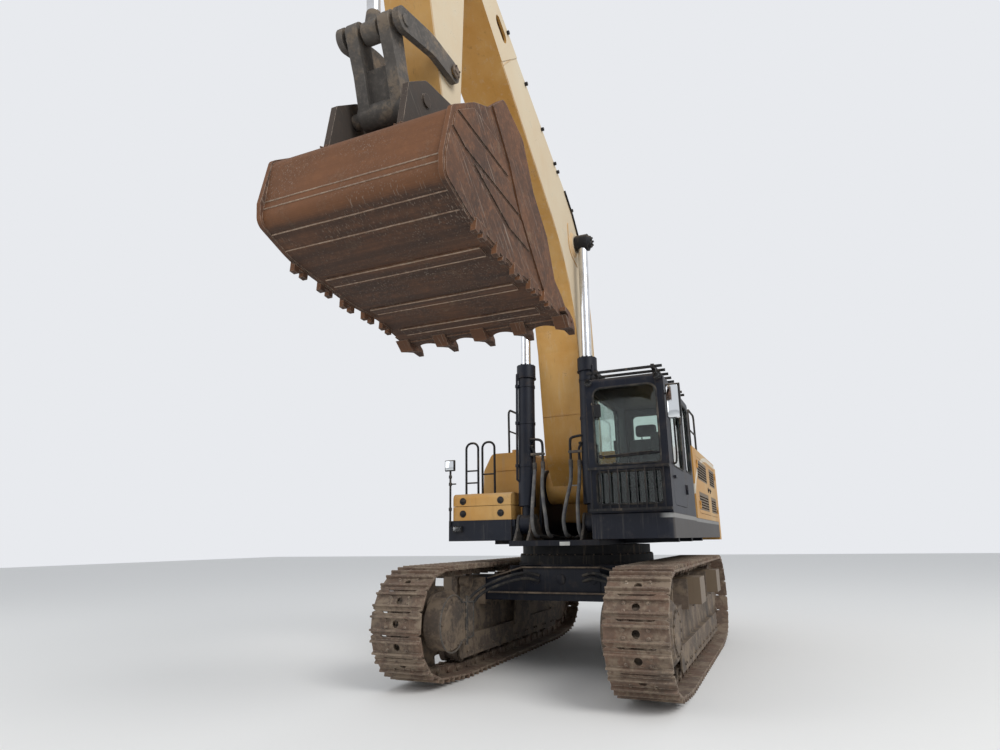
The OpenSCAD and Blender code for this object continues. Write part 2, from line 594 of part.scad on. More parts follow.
module toolbox_lid() color(ochre) at_swing() {
    lid_hinge(true);
    difference() {
        slab(900, -1110) polygon(rounded(lid_rows));
        slab(900 - 2 * panel_t, -1110) polygon(rounded(inset(lid_rows, panel_t)));
        block([-1560 + panel_t, -box_front + panel_t, box_seam], [-660 - panel_t, -box_rear - panel_t, box_seam + 60]);
    }
}

skirt_t = 30;
skirt_front = 80;
module skirts() color(navy) at_swing() {
    translate([0, 0, skirt_low]) linear_extrude(platform_z - skirt_low) polygon(rounded([
        [cab_in, -cab_front, 20], [cab_out, -cab_front, 80], [cab_out, -cab_rear, 0], [cab_out - skirt_t, -cab_rear, 0],
        [cab_out - skirt_t, -cab_front + skirt_front, 0], [cab_in, -cab_front + skirt_front, 0]]));
    block([upper_x - skirt_t, -cab_rear + seat, skirt_low], [upper_x, tail_y - weight_len - seat, platform_z]);
    block([-upper_x, -box_front, skirt_low], [-upper_x + skirt_t, tail_y - weight_len - seat, platform_z]);
    block([-upper_x, -box_front - 20, skirt_low], [-660, -box_front + 10, platform_z]);
}

// Cab: a hollow box with rounded edges and windows. Side views are [y, z], front views [x, z],
// each row with the radius of its corner
cab_low = platform_z + seat;
door_y = [-1990, -1010];
door_z = [cab_low + 90, cab_high - 130];
cab_side = [[-cab_front, cab_low, 30], [-cab_rear, cab_low, 30], [-cab_rear, cab_high, 110], [-cab_front, cab_high, 70]];
cab_face = [[cab_in, cab_low, 0], [cab_out, cab_low, 0], [cab_out, cab_high, 80], [cab_in, cab_high, 80]];
function window(a0, z0, a1, z1, low, high) = [[a0, z0, low], [a1, z0, low], [a1, z1, high], [a0, z1, high]];
screen_rows = window(cab_in + 90, 2500, cab_out - 90, cab_high - 130, 50, 100);
foot_rows = window(cab_in + 90, 2040, cab_out - 90, 2420, 50, 50);
inner_rows = window(-cab_front + 150, 2450, -cab_rear - 500, cab_high - 150, 80, 120);
back_rows = window(cab_in + 150, 2650, cab_out - 150, cab_high - 150, 70, 70);
outer_rows = window(door_y[1] + 120, 2500, -cab_rear - 120, cab_high - 150, 80, 80);
door_rows = window(door_y[0], door_z[0], door_y[1], door_z[1], 90, 90);
pane_rows = window(door_y[0] + 90, 2480, door_y[1] - 90, door_z[1] - 90, 70, 80);
// A front view made into a solid from y0 back to y1
module face_slab(y0, y1) translate([0, y1, 0]) rotate([90, 0, 0]) linear_extrude(y1 - y0) children();
module side_cut(x, w, rows, d = 0) slab(w, x) polygon(rounded(inset(rows, d)));
module face_cut(y0, y1, rows, d = 0) face_slab(y0, y1) polygon(rounded(inset(rows, d)));
module cab_box(g) intersection() {
    side_cut((cab_in + cab_out) / 2, cab_out - cab_in - 2 * g, cab_side, g);
    face_cut(-cab_front - 1, -cab_rear + 1, cab_face, g);
}
module cab_shell() color(navy) at_swing() {
    cab_hinge(false);
    cab_walls();
}
module cab_walls() difference() {
    cab_box(0);
    cab_box(cab_wall);
    for (rows = [screen_rows, foot_rows]) face_cut(-cab_front - 1, -cab_front + cab_wall + 1, rows);
    side_cut(cab_in + cab_wall / 2, cab_wall + 2, inner_rows);
    face_cut(-cab_rear - cab_wall - 1, -cab_rear + 1, back_rows);
    side_cut(cab_out - cab_wall / 2, cab_wall + 2, door_rows, -door_gap);
    side_cut(cab_out - cab_wall / 2, cab_wall + 2, outer_rows);
}
module cab_hinge(on_door) for (z = [2250, 3200]) knuckles(cab_out, door_y[1], 1, z, on_door);
glass_t = 8;
glass_in = 20;
module cab_glass() color(pane) at_swing() {
    for (rows = [screen_rows, foot_rows]) face_cut(-cab_front + glass_in, -cab_front + glass_in + glass_t, rows, seat);
    side_cut(cab_in + glass_in + glass_t / 2, glass_t, inner_rows, seat);
    face_cut(-cab_rear - glass_in - glass_t, -cab_rear - glass_in, back_rows, seat);
    side_cut(cab_out - glass_in - glass_t / 2, glass_t, outer_rows, seat);
}
module cab_door() color(navy) at_swing() {
    cab_hinge(true);
    difference() {
        side_cut(cab_out - cab_wall / 2, cab_wall, door_rows);
        side_cut(cab_out - cab_wall / 2, cab_wall + 2, pane_rows);
    }
    translate([0, door_y[0] + 40, 0]) block([cab_out - 5, 0, 2330], [cab_out + 28, 110, 2360]);
}
module door_glass() color(pane) at_swing() side_cut(cab_out - glass_in - glass_t / 2, glass_t, pane_rows, seat);
// Grille before the lower window and the grid over the roof
guard_in = 100;
module cab_guard() color(black) at_swing() {
    for (z = [cab_low + 30, 2440]) block([cab_in, -cab_front - 60, z], [cab_out, -cab_front - 30, z + 30]);
    for (i = [0 : 8]) block([cab_in + 30 + i * 105, -cab_front - 58, cab_low + 40], [cab_in + 42 + i * 105, -cab_front - 32, 2460]);
    for (x = [cab_in, cab_out - 30]) for (z = [cab_low + 30, 2440])
        block([x, -cab_front - 59, z], [x + 30, -cab_front - seat, z + 30]);
    for (x = [cab_in + guard_in, cab_out - guard_in - 40]) {
        block([x, -cab_front + 40, cab_high + 60], [x + 40, -cab_rear, cab_high + 110]);
        for (y = [-cab_front + 140, -cab_rear - 240]) block([x, y, cab_high + seat], [x + 40, y + 40, cab_high + 70]);
    }
    for (i = [0 : 8])
        block([cab_in + 10, -cab_front + 60 + i * 225, cab_high + 70], [cab_out - 10, -cab_front + 85 + i * 225, cab_high + 100]);
}
module cab_seat() color(black) at_swing() {
    block([1000, -1450, cab_low + cab_wall + seat], [1400, -1000, 2300]);
    block([950, -1500, 2290], [1450, -950, 2440]);
    block([960, -1020, 2400], [1440, -900, 3150]);
}

// Bent tube from points, for rails and pipes
module rail(points, r) for (i = [0 : len(points) - 2])
    let (a = points[i], b = points[i + 1], v = b - a)
    translate(a) rotate([0, acos(v.z / norm(v)), atan2(v.y, v.x)]) {
        cylinder(r = r, h = norm(v), $fn = 16);
        sphere(r = r + 0.6, $fn = 16);
    }
rail_y = -870;
rail_r = 17;
// A rail over two feet, in a side plane, from [foot y, foot y, foot z, top z]
module hoop(y0, y1, low, high) tube([[y0, low, 0], [y0, high, 90], [y1, high, 90], [y1, low, 0]], rail_r);
module handrails() color(black) at_swing() {
    for (x = [-1560, -1290]) translate([x + 100, rail_y, 0]) rotate([0, 0, 90]) hoop(-100, 100, platform_z + seat, 3100);
    translate([1500, 0, 0]) hoop(1200, 1900, hood_z + seat, 3720);
    translate([-1130, 0, 0]) hoop(-200, 240, tank_top + seat, 3710);
}
module lamps() color(black) at_swing() {
    block([-1540, -box_front - 60, 1780], [-1400, -box_front - 20 - seat, 1860]);
    for (x = [cab_in + 55, cab_out - 55]) translate([x, -cab_front - seat, cab_high - 65]) rotate([90, 0, 0]) {
        cylinder(r1 = 30, r2 = 46, h = 40);
        translate([0, 0, 39]) cylinder(r = 46, h = 25);
    }
}
module mirrors() color(black) at_swing() {
    rail([[-1590, -box_front - 36, platform_z - 60], [-1590, -box_front - 36, 2700]], 15);
    slab(150, -1590) polygon(rounded(window(-box_front - 66, 2640, -box_front - 24, 2800, 18, 18)));
    rail([[cab_out + 16, -cab_front + 80, 3300], [cab_out + 90, -cab_front + 30, 3300]], 15);
    slab(160, cab_out + 100) polygon(rounded(window(-cab_front - 10, 3000, -cab_front + 45, 3400, 25, 25)));
}

hose_x = [-130, -50, 50, 130];
module hydraulic_hoses() color(black) at_swing()
    for (x = hose_x)
        rail([[x, -300, deck_top + 24.9], [x, -900, deck_top + 24.9], [x * 2.4, -1180, deck_top + 60]], 24);

// Boom: bent box girder with its bosses
boom_peak = [3050, 2250];
boom_rows = [[-150, -200, 200], [600, -200, 300], [2860, 1090, 2400], [boom_len - 900, -30, 900],
    [boom_len - 260, -200, 0], [boom_len - 100, 150, 0], [boom_peak.x, boom_peak.y, 2100],
    [350, 640, 500], [-150, 200, 200]];
boom_boss = 420;
module boom() color(ochre) at_swing() link_frame(boom_foot, boom_tilt) {
    difference() {
        union() {
            slab(boom_w) difference() {
                polygon(rounded(boom_rows));
                polygon(rounded(inset(boom_rows, plate_t)));
            }
            for (x = [-1, 1]) slab(plate_t, x * (boom_w - plate_t) / 2) polygon(rounded(boom_rows));
            across([0, 0], 250, 2 * boom_boss);
            both_sides() translate([boom_w / 2 - 2, 3285, 1540]) rotate([0, 90, 0]) cylinder(r1 = 215, r2 = 150, h = 47);
            for (x = [-1, 1]) slab(12, x * (boom_w / 2 + 5))
                polygon(rounded([[2900, 1540, 60], [3285, 1260, 250], [3670, 1540, 60], [3285, 1820, 250]]));
            for (x = [-1, 1]) slab(20, x * boom_w / 2) intersection() {
                polygon(rounded(boom_rows));
                polygon([[5820, -400], [boom_len, -400], [boom_len, 1200], [5940, 1200]]);
            }
            for (x = [-1, 1]) slab(70, x * (boom_w / 2 - 35))
                polygon(rounded([[boom_len - 700, -60, 0], [boom_len, -250, 250], [boom_len + 250, 0, 250],
                    [boom_len, 250, 250], [boom_len - 700, 420, 0]]));
            for (x = [-1, 1]) slab(40, x * 130)
                polygon(rounded([[3560, 1750, 0], [4560, 1480, 0], [4230, 2230, 130], [3970, 2230, 130]]));
        }
        across([0, 0], 75 + pin_fit, 2 * boom_boss + 2);
        across([boom_len, 0], 65 + pin_fit, boom_w + 2);
        across([4100, 2080], 55 + pin_fit, 400);
        slab(boom_w + 60) translate([6230, 440]) rotate(-24)
            polygon(rounded([[-165, -80, 79], [165, -80, 79], [165, 80, 79], [-165, 80, 79]]));
        slab(arm_w + 20) polygon([[boom_len - 560, -400], [boom_len + 400, -400], [boom_len + 400, 600], [boom_len - 700, 600],
                [boom_len - 700, 200]]);
    }
}
// Tube along rows of [s, t, radius of the bend] in the side plane, with clamps under its straights
function bend_reach(rows, i) = i == 0 || i == len(rows) - 1 ? 0
    : let (u = unit(flat2(rows[i - 1]) - flat2(rows[i])), v = unit(flat2(rows[i + 1]) - flat2(rows[i])))
        rows[i][2] / tan(acos(u * v) / 2);
function flat2(row) = [row[0], row[1]];
module tube(rows, r) for (i = [0 : len(rows) - 2])
    let (a = flat2(rows[i]), b = flat2(rows[i + 1]), u = unit(b - a), from = a + u * bend_reach(rows, i),
        to = b - u * bend_reach(rows, i + 1)) {
        translate([0, from.x, from.y]) rotate([atan2(u.y, u.x) - 90, 0, 0]) cylinder(r = r, h = norm(to - from));
        if (i > 0) let (p = unit(flat2(rows[i - 1]) - a), turn = 180 - acos(p * u), side = sign(cross2(-p, u)),
            mid = a + unit(p + u) * norm([rows[i][2], bend_reach(rows, i)]), start = atan2(-p.x * side, p.y * side))
            translate([0, mid.x, mid.y]) rotate([90, 0, 90])
                rotate([0, 0, side > 0 ? atan2(-p.y, -p.x) - 90 : atan2(u.y, u.x) + 90])
                    rotate_extrude(angle = turn) translate([rows[i][2], 0]) circle(r = r);
    }
pipe_r = 24;
pipe_lift = 60;
boom_rise = (boom_peak.y - 640) / (boom_peak.x - 350);
boom_fall = (boom_peak.y - 150) / (boom_len - 100 - boom_peak.x);
pipe_peak = boom_peak + [0, pipe_lift];
function pipe_top(s) = s < boom_peak.x ? pipe_peak.y - (boom_peak.x - s) * boom_rise : pipe_peak.y - (s - boom_peak.x) * boom_fall;
module boom_pipes() color(black) at_swing() link_frame(boom_foot, boom_tilt) {
    for (x = [-255, -195, 195, 255]) translate([x, 0, 0])
        tube([[700, pipe_top(700), 0], [pipe_peak.x, pipe_peak.y, 2100], [boom_len - 900, pipe_top(boom_len - 900), 0]], pipe_r);
    for (s = [900, 1700, 4300, 5200, 6100])
        let (slope = atan(s < boom_peak.x ? boom_rise : -boom_fall), lift = pipe_lift * cos(slope) - seat)
            for (x = [-225, 225]) translate([x, s, pipe_top(s)]) rotate([slope, 0, 0])
                translate([-60, -35, -lift]) cube([120, 70, lift + 10]);
}

// Cylinders: the barrel from its foot, the rod from its gland
module barrel(foot_r, foot_w, neck, r, len, bore) difference() {
    union() {
        across([0, 0], foot_r, foot_w);
        rotate([-90, 0, 0]) {
            cylinder(r = foot_w / 2 - 4, h = len);
            translate([0, 0, neck]) cylinder(r = r, h = len - neck);
            translate([0, 0, len - 180]) cylinder(r = r + 18, h = 180);
        }
    }
    rotate([-90, 0, 0]) translate([0, 0, foot_r + 60]) cylinder(r = bore, h = len);
}
module rod(from, to, r, eye_r, eye_w) {
    rotate([-90, 0, 0]) translate([0, 0, from]) cylinder(r = r, h = to - from);
    translate([0, to, 0]) rotate([0, 90, 0]) cylinder(r = eye_r, h = eye_w, center = true);
}
boom_barrel_len = 2270;
boom_rod_r = 70;
module boom_barrels() color(navy) at_swing() both_sides() translate([cylinder_x, 0, 0])
    link_frame(cylinder_foot, lean(cylinder_foot, boom_eye)) difference() {
        barrel(130, 150, 240, 120, boom_barrel_len, boom_rod_r + rod_fit);
        across([0, 0], 60 + pin_fit, 200);
    }
module boom_rods() color(chrome) at_swing() both_sides() translate([cylinder_x, 0, 0])
    link_frame(cylinder_foot, lean(cylinder_foot, boom_eye)) {
        translate([88, span(cylinder_foot, boom_eye), 0]) rotate([0, 90, 0]) cylinder(r1 = 100, r2 = 82, h = 46);
        rod(boom_barrel_len - 280, span(cylinder_foot, boom_eye), boom_rod_r, 125, 180);
    }

arm_barrel_len = 2750;
arm_rod_r = 75;
arm_lean = lean(arm_foot, arm_eye);
module arm_barrel() color(navy) at_swing() link_frame(arm_foot, arm_lean) {
    barrel(130, 200, 480, 135, arm_barrel_len, arm_rod_r + rod_fit);
    across([0, 0], 55, 340);
}
module arm_rod() color(chrome) at_swing() link_frame(arm_foot, arm_lean)
    rod(arm_barrel_len - 260, span(arm_foot, arm_eye), arm_rod_r, 125, 180);

// Arm: a tapering box with the cylinder brackets at its top
arm_rows = [[-1010, 230, 80], [-200, -230, 200], [150, -250, 300], [arm_len - 100, -160, 100],
    [arm_len + 150, -60, 60], [arm_len + 150, 80, 60], [arm_len - 350, 215, 400], [500, 830, 500],
    [-150, 900, 300], [-1050, 330, 60]];
arm_lug_rows = [[-700, 20, 0], [-500, 560, 0], [-860, 520, 130], [-1040, 380, 130], [-940, 250, 130]];
module arm() color(ochre) at_swing() link_frame(boom_tip, arm_tilt) {
    difference() {
        union() {
            slab(arm_w) difference() {
                polygon(rounded(arm_rows));
                polygon(rounded(inset(arm_rows, plate_t)));
            }
            for (x = [-1, 1]) slab(plate_t, x * (arm_w - plate_t) / 2) polygon(rounded(arm_rows));
            across([0, 0], 200, arm_w);
            across([arm_len, 0], 190, arm_w + 8);
            across(link_pin_at, 120, arm_w + 8);
            for (x = [-1, 1]) slab(40, x * 130) polygon(rounded(arm_lug_rows));
        }
        across(arm_eye_at, 120, 2 * 90 + 4);
        slab(214) polygon([[-1300, -300], [-300, -300], [-400, 100], [-500, 700], [-1300, 700]]);
    }
    across([0, 0], 65, boom_w + 60);
    across([arm_len, 0], 60, 2 * (ear_x + ear_t / 2 + 12));
    across([arm_len, 0], 85, 2 * (ear_x - ear_t / 2 - slide_gap));
    across(link_pin_at, 50, 2 * (link_x + link_t / 2 + 14));
}

// Two plates on the arm's back that hold the foot of the bucket's cylinder
module arm_brackets() color(ochre) at_swing() link_frame(boom_tip, arm_tilt) difference() {
    for (x = [-1, 1]) slab(40, x * 130)
        polygon(rounded([[-900, 420, 0], [100, 780, 0], [-200, 1380, 130], [-500, 1380, 130]]));
    for (rows = [arm_rows, arm_lug_rows]) slab(arm_w) polygon(rounded(inset(rows, -seat)));
    across(bucket_foot_at, 55 + pin_fit, 400);
}

// Middle and thickness of the links beside the arm and of the ears outside them
link_x = 292;
link_t = 60;
ear_x = 361;
ear_t = 60;
bucket_barrel_len = 1750;
bucket_rod_in = 800;
bucket_rod_r = 60;
module bucket_barrel() color(navy) at_swing() link_frame(bucket_foot, lean(bucket_foot, rod_pin)) {
    barrel(120, 200, 430, 115, bucket_barrel_len, bucket_rod_r + rod_fit);
    across([0, 0], 55, 340);
}
module bucket_rod() color(chrome) at_swing() link_frame(bucket_foot, lean(bucket_foot, rod_pin))
    rod(bucket_rod_in, span(bucket_foot, rod_pin), bucket_rod_r, 95, 150);

module side_links() color(dusty) at_swing() link_frame(link_pin, lean(link_pin, rod_pin)) {
    l = span(link_pin, rod_pin);
    both_sides() difference() {
        slab(link_t, link_x) polygon(rounded([[-110, -110, 110], [400, -40, 300], [l + 110, -110, 110],
            [l + 110, 110, 110], [400, 170, 600], [-110, 110, 110]]));
        across([0, 0], 50 + pin_fit, 400, 350);
        across([l, 0], 50 + pin_fit, 400, 350);
    }
}
module tipping_link() color(dusty) at_swing() link_frame(rod_pin, lean(rod_pin, ear_pin)) {
    l = span(rod_pin, ear_pin);
    both_sides() {
        slab(110, 165) polygon(rounded([[-120, -120, 120], [l * 0.5, -90, 200], [l + 110, -110, 110],
            [l + 110, 110, 110], [l * 0.5, 90, 200], [-120, 120, 120]]));
        across([0, 0], 50, link_x + link_t / 2 + 14 - 130, (link_x + link_t / 2 + 14 + 130) / 2);
    }
    slab(260) polygon([[l * 0.45, -30], [l - 60, -30], [l - 60, 30], [l * 0.45, 30]]);
    across([l, 0], 110, 2 * 235);
    across([l, 0], 70, 2 * (ear_x - ear_t / 2 - slide_gap));
}

// Bucket's rolled plate, from the lip along floor, heel and back to the top plate; the last side
// is its open mouth
wrap_rows = [[1944, 227, 0], [1457, 621, 900], [1104, 1000, 900], [439, 1573, 700], [43, 1765, 120],
    [-358, 1271, 160], [-187, 748, 60], [237, 186, 0, -300]];
side_rows = [[1960, 60, 0], [1944, 227, 0], [1457, 621, 900], [1104, 1010, 900], [439, 1583, 700],
    [43, 1775, 100], [-95, 1664, 60], [-360, 1270, 100], [-310, 840, 200], [-230, 570, 0],
    [-240, 220, 90], [160, 10, 90], [640, 107, 0], [1100, 60, 40], [1520, 173, 60], [1740, 93, 0]];
tooth_side = [[-120, 130], [-150, 60], [-60, -20], [tooth_len - 80, -150], [tooth_len, -150], [tooth_len - 90, -90],
    [tooth_len - 150, 10], [60, 110]];
// Space between the sides of the bucket, grown by d; its width falls with the depth t
module between_sides(d) rotate([90, 0, 0]) translate([0, 0, -2500]) linear_extrude(5000)
        polygon([[bucket_x + 10 + d, -200], [bucket_back_x + d, 1900], [-bucket_back_x - d, 1900],
            [-bucket_x - 10 - d, -200]]);
module wrap_band(d) difference() {
    polygon(rounded(inset([for (row = wrap_rows) [row[0], row[1], row[2]]], -d)));
    polygon(rounded(inset(wrap_rows, bucket_wrap_t + d)));
}
module bucket_sides(d) intersection() {
    slab(2400) polygon(rounded(inset(side_rows, -d)));
    difference() { between_sides(d); between_sides(-bucket_side_t - d); }
}
// Plates on the outside of the bucket's sides, from a side view and a thickness
module on_sides(d) intersection() {
    slab(2400) children();
    difference() { between_sides(d); between_sides(-20); }
}
wear_h = 30;
strip_h = 14;
edge_h = 22;
// Height of the mouth's band over its edge, and the slope of the groove that ends the strips
band_t = 540;
groove = 0.51;
function groove_at(s, t) = t + (1393 - s) * groove;
// Wear blocks round the bucket and strips across its floor: [s, t, angle] of the middle of each
wear_places = [[1560, 500, 141], [1320, 745, 135], [1075, 1005, 136], [810, 1235, 139], [530, 1475, 139]];
floor_places = [[1700, 424, 141], [1280, 811, 133], [770, 1290, 139.2]];
module bucket_trim() {
    on_sides(edge_h) difference() {
        polygon(rounded(side_rows));
        polygon([[-600, band_t - 20], [265, band_t - 40], [720, band_t + 40], [1390, band_t], [2500, band_t - 200],
            [2500, 2200], [-600, 2200]]);
    }
    on_sides(strip_h) intersection() {
        polygon(rounded(inset(side_rows, 45)));
        polygon([[-600, band_t + 55], [1325, band_t + 55], [-330, groove_at(-330, 559)], [-600, groove_at(-600, 559)]]);
        union() { for (s = [360, 710, 1060]) translate([s, band_t + 50]) rotate(137) square([1600, 195]); }
    }
    on_sides(strip_h) intersection() {
        polygon(rounded(inset(side_rows, 20)));
        polygon([[1440, groove_at(1440, 634)], [2100, 260], [2100, 2100], [-600, 2100], [-330, groove_at(-330, 634)]]);
    }
    on_sides(wear_h) for (w = wear_places) translate([w.x, w.y]) rotate(w.z) translate([-90, -85]) difference() {
        square([180, 110]);
        translate([60, -1]) square([60, 40]);
    }
    for (w = floor_places) slab(2 * bucket_back_x - 160) translate([w.x, w.y]) rotate(w.z) translate([-65, -18]) square([130, 36]);
}
// Lip plate ahead of the floor, with its edge scalloped between the teeth
lip_turn = -39;
lip_len = 95;
lip_t = 44;
lip_end = [1944, 227] + lip_len * [cos(lip_turn), sin(lip_turn)];
tooth_gap = 2 * bucket_x / (tooth_n - 1);
module lip(d) slab(2 * (bucket_x - 35)) translate([1944, 227]) rotate(lip_turn)
    translate([-60, -lip_t / 2 - 10 - d]) square([lip_len + 60 + d, lip_t + 2 * d]);
module scallops() for (i = [0 : tooth_n - 2])
    translate([-bucket_x + (i + 0.5) * tooth_gap, lip_end.x, lip_end.y]) rotate([lip_turn, 0, 0])
        translate([0, 90, 0]) cylinder(r = 158, h = 400, center = true);
module bucket_shell() color(rust) at_swing() link_frame(bucket_pin, bucket_tilt) {
    intersection() { slab(2400) wrap_band(0); between_sides(-5); }
    bucket_sides(0);
    bucket_trim();
    difference() { lip(0); scallops(); }
    both_sides() {
        slab(ear_t, ear_x) difference() {
            polygon(rounded([[-160, -160, 160], [160, -160, 160], [300, 300, 0], [-60, 640, 0], [-320, 1180, 0],
                [ear_at.x - 180, ear_at.y + 200, 0], [ear_at.x - 150, ear_at.y - 150, 150]]));
            circle(r = 60 + pin_fit);
        }
        across(ear_at, 60, 20, ear_x + ear_t / 2 + 8);
    }
}
module bucket_teeth() color(rust) at_swing() link_frame(bucket_pin, bucket_tilt) difference() {
    for (i = [0 : tooth_n - 1])
        translate([-bucket_x + i * 2 * bucket_x / (tooth_n - 1), 1944, 177]) intersection() {
            slab(180) polygon(tooth_side);
            translate([0, 0, -400]) linear_extrude(800)
                polygon([[-80, -200], [80, -200], [75, 60], [30, tooth_len + 10], [-30, tooth_len + 10], [-75, 60]]);
        }
    slab(2400) wrap_band(seat);
    lip(seat);
    bucket_sides(seat);
    on_sides(edge_h + seat) polygon(rounded(inset(side_rows, -seat)));
}

carbody();
swing_ring();
track_frames();
rollers();
track_left();
track_right();
sprockets();
idlers();
travel_motors();
upper_frame();
counterweight();
engine();
hood();
tanks();
toolbox();
skirts();
cab_shell();
cab_glass();
cab_guard();
cab_seat();
handrails();
lamps();
mirrors();
hydraulic_hoses();
cab_door();
door_glass();
toolbox_lid();
hood_lid();
side_door_front();
side_door_rear();
pump_door();
boom();
boom_pipes();
boom_barrels();
boom_rods();
arm();
arm_brackets();
cylinder_feet();
exhaust();
arm_barrel();
arm_rod();
bucket_barrel();
bucket_rod();
side_links();
tipping_link();
bucket_shell();
bucket_teeth();
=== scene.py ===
# %% [markdown]
# # Dressing a crawler excavator
# The construction of the machine comes from its CAD model, which is loaded as a fixed frame in metres.
# Blender adds what a CAD model leaves out: paint and its wear, dust, welds, bolts, shoes with their holes,
# hoses and glass. Every cell below makes one of these and prints what it made.

# %% Load the frame
import math
import random

import bmesh
import bpy
from mathutils import Matrix, Vector


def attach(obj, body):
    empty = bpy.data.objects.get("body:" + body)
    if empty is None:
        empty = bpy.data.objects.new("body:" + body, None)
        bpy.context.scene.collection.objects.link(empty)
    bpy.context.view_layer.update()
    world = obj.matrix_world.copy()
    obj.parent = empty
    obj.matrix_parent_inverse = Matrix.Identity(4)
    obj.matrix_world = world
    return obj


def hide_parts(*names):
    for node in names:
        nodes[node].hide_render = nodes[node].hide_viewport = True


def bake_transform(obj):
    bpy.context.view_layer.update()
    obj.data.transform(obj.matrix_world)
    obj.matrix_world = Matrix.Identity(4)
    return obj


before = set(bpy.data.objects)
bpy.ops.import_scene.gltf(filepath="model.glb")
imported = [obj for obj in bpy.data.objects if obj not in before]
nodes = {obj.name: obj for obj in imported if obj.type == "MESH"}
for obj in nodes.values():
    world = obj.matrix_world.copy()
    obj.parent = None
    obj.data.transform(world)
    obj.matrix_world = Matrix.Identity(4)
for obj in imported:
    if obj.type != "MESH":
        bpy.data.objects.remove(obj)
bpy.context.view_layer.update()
dice = random.Random(4)

# %% [markdown]
# ## The camera
# The camera stands at eye height, ahead of the cab's side of the machine, with a wide lens that looks up
# along the raised boom. A camera is a frame of its own: its local X points right, Y up and -Z ahead, so
# the three columns of its matrix are built from a heading, a pitch and a small roll.

# %% Camera
CAMERA_AT = Vector((2.829, -8.619, 1.657))
CAMERA_HEADING = math.radians(23.598)
CAMERA_PITCH = math.radians(14.528)
CAMERA_ROLL = math.radians(-0.879)


def aim(at, heading, pitch, roll):
    """The matrix of a camera that looks ahead along +Y, turned left by heading and up by pitch."""
    level = math.cos(pitch)
    ahead = Vector((-math.sin(heading) * level, math.cos(heading) * level, math.sin(pitch)))
    right = Vector((math.cos(heading), math.sin(heading), 0))
    up = right.cross(ahead)
    rolled_right = right * math.cos(roll) + up * math.sin(roll)
    rolled_up = up * math.cos(roll) - right * math.sin(roll)
    return Matrix.Translation(at) @ Matrix((rolled_right, rolled_up, -ahead)).transposed().to_4x4()


eye = bpy.data.objects.new("camera", bpy.data.cameras.new("camera"))
eye.data.lens = 22.99
eye.data.sensor_width = 36
eye.data.clip_end = 200
eye.matrix_world = aim(CAMERA_AT, CAMERA_HEADING, CAMERA_PITCH, CAMERA_ROLL)
bpy.context.scene.collection.objects.link(eye)
bpy.context.scene.camera = eye
print("camera at", tuple(round(v, 3) for v in CAMERA_AT), "lens", eye.data.lens, "mm")

# %% [markdown]
# ## Places along a boom
# The boom, the arm, the bucket and each cylinder are drawn in frames of their own: s runs along the piece
# and t stands above it. One matrix for each frame turns such a place into metres of the whole machine, so a
# weld or a bolt can be placed where it belongs on its own piece. On the rest of the machine, y is measured
# from the swing axis, about which the upper structure turns.

# %% Frames of the links
SWING_Y = 0.97


def from_swing(x, y, z):
    """A place on the machine, with y measured from the swing axis."""
    return Vector((x, y + SWING_Y, z))


def link_frame(y, z, angle):
    """A matrix from (x, s, t) to the machine; y and z are measured from the swing axis, angle in degrees."""
    c, n = math.cos(math.radians(angle)), math.sin(math.radians(angle))
    return Matrix(((1, 0, 0, 0), (0, -c, n, y + SWING_Y), (0, n, c, z), (0, 0, 0, 1)))


def lean(start, end):
    """The angle of a link from one pin, as (y, z), forward to another."""
    return math.degrees(math.atan2(end[1] - start[1], start[0] - end[0]))


def pin_of(frame_of_link, s, t):
    """Where a pin of a link is, as (y, z) from the swing axis."""
    at = frame_of_link @ Vector((0, s, t))
    return at.y - SWING_Y, at.z


BOOM_LEAN, ARM_LEAN, BUCKET_LEAN = 53.0, -88.6, -132.8
BOOM_LENGTH, ARM_LENGTH = 7.4, 2.91
BOOM_FOOT, BARREL_FOOT = (-0.25, 2.42), (-1.18, 1.87)
BOOM = link_frame(*BOOM_FOOT, BOOM_LEAN)
BOOM_EYE, ARM_FOOT = pin_of(BOOM, 3.285, 1.54), pin_of(BOOM, 4.1, 2.08)
BOOM_TIP = pin_of(BOOM, BOOM_LENGTH, 0)
ARM = link_frame(*BOOM_TIP, ARM_LEAN)
ARM_EYE, BUCKET_FOOT, ROD_PIN = pin_of(ARM, -0.9, 0.38), pin_of(ARM, -0.35, 1.25), pin_of(ARM, 2.385, 0.993)
BUCKET = link_frame(*pin_of(ARM, ARM_LENGTH, 0), BUCKET_LEAN)
BOOM_BARREL = link_frame(*BARREL_FOOT, lean(BARREL_FOOT, BOOM_EYE))
ARM_BARREL = link_frame(*ARM_FOOT, lean(ARM_FOOT, ARM_EYE))
BUCKET_BARREL = link_frame(*BUCKET_FOOT, lean(BUCKET_FOOT, ROD_PIN))
print("boom eye", BOOM_EYE, "arm foot", ARM_FOOT, "bucket pin", pin_of(BUCKET, 0, 0))

# %% [markdown]
# ## Shader maths as expressions
# A material is a graph of nodes, and wiring it one node at a time hides what it works out. A small class
# wraps an output socket and overloads the operators, so that `dust * 0.5 + 1` adds its Math nodes. Every
# other node comes from one method, which takes the node's type, its settings and the values or links of
# its sockets. The same method wires the world further down.

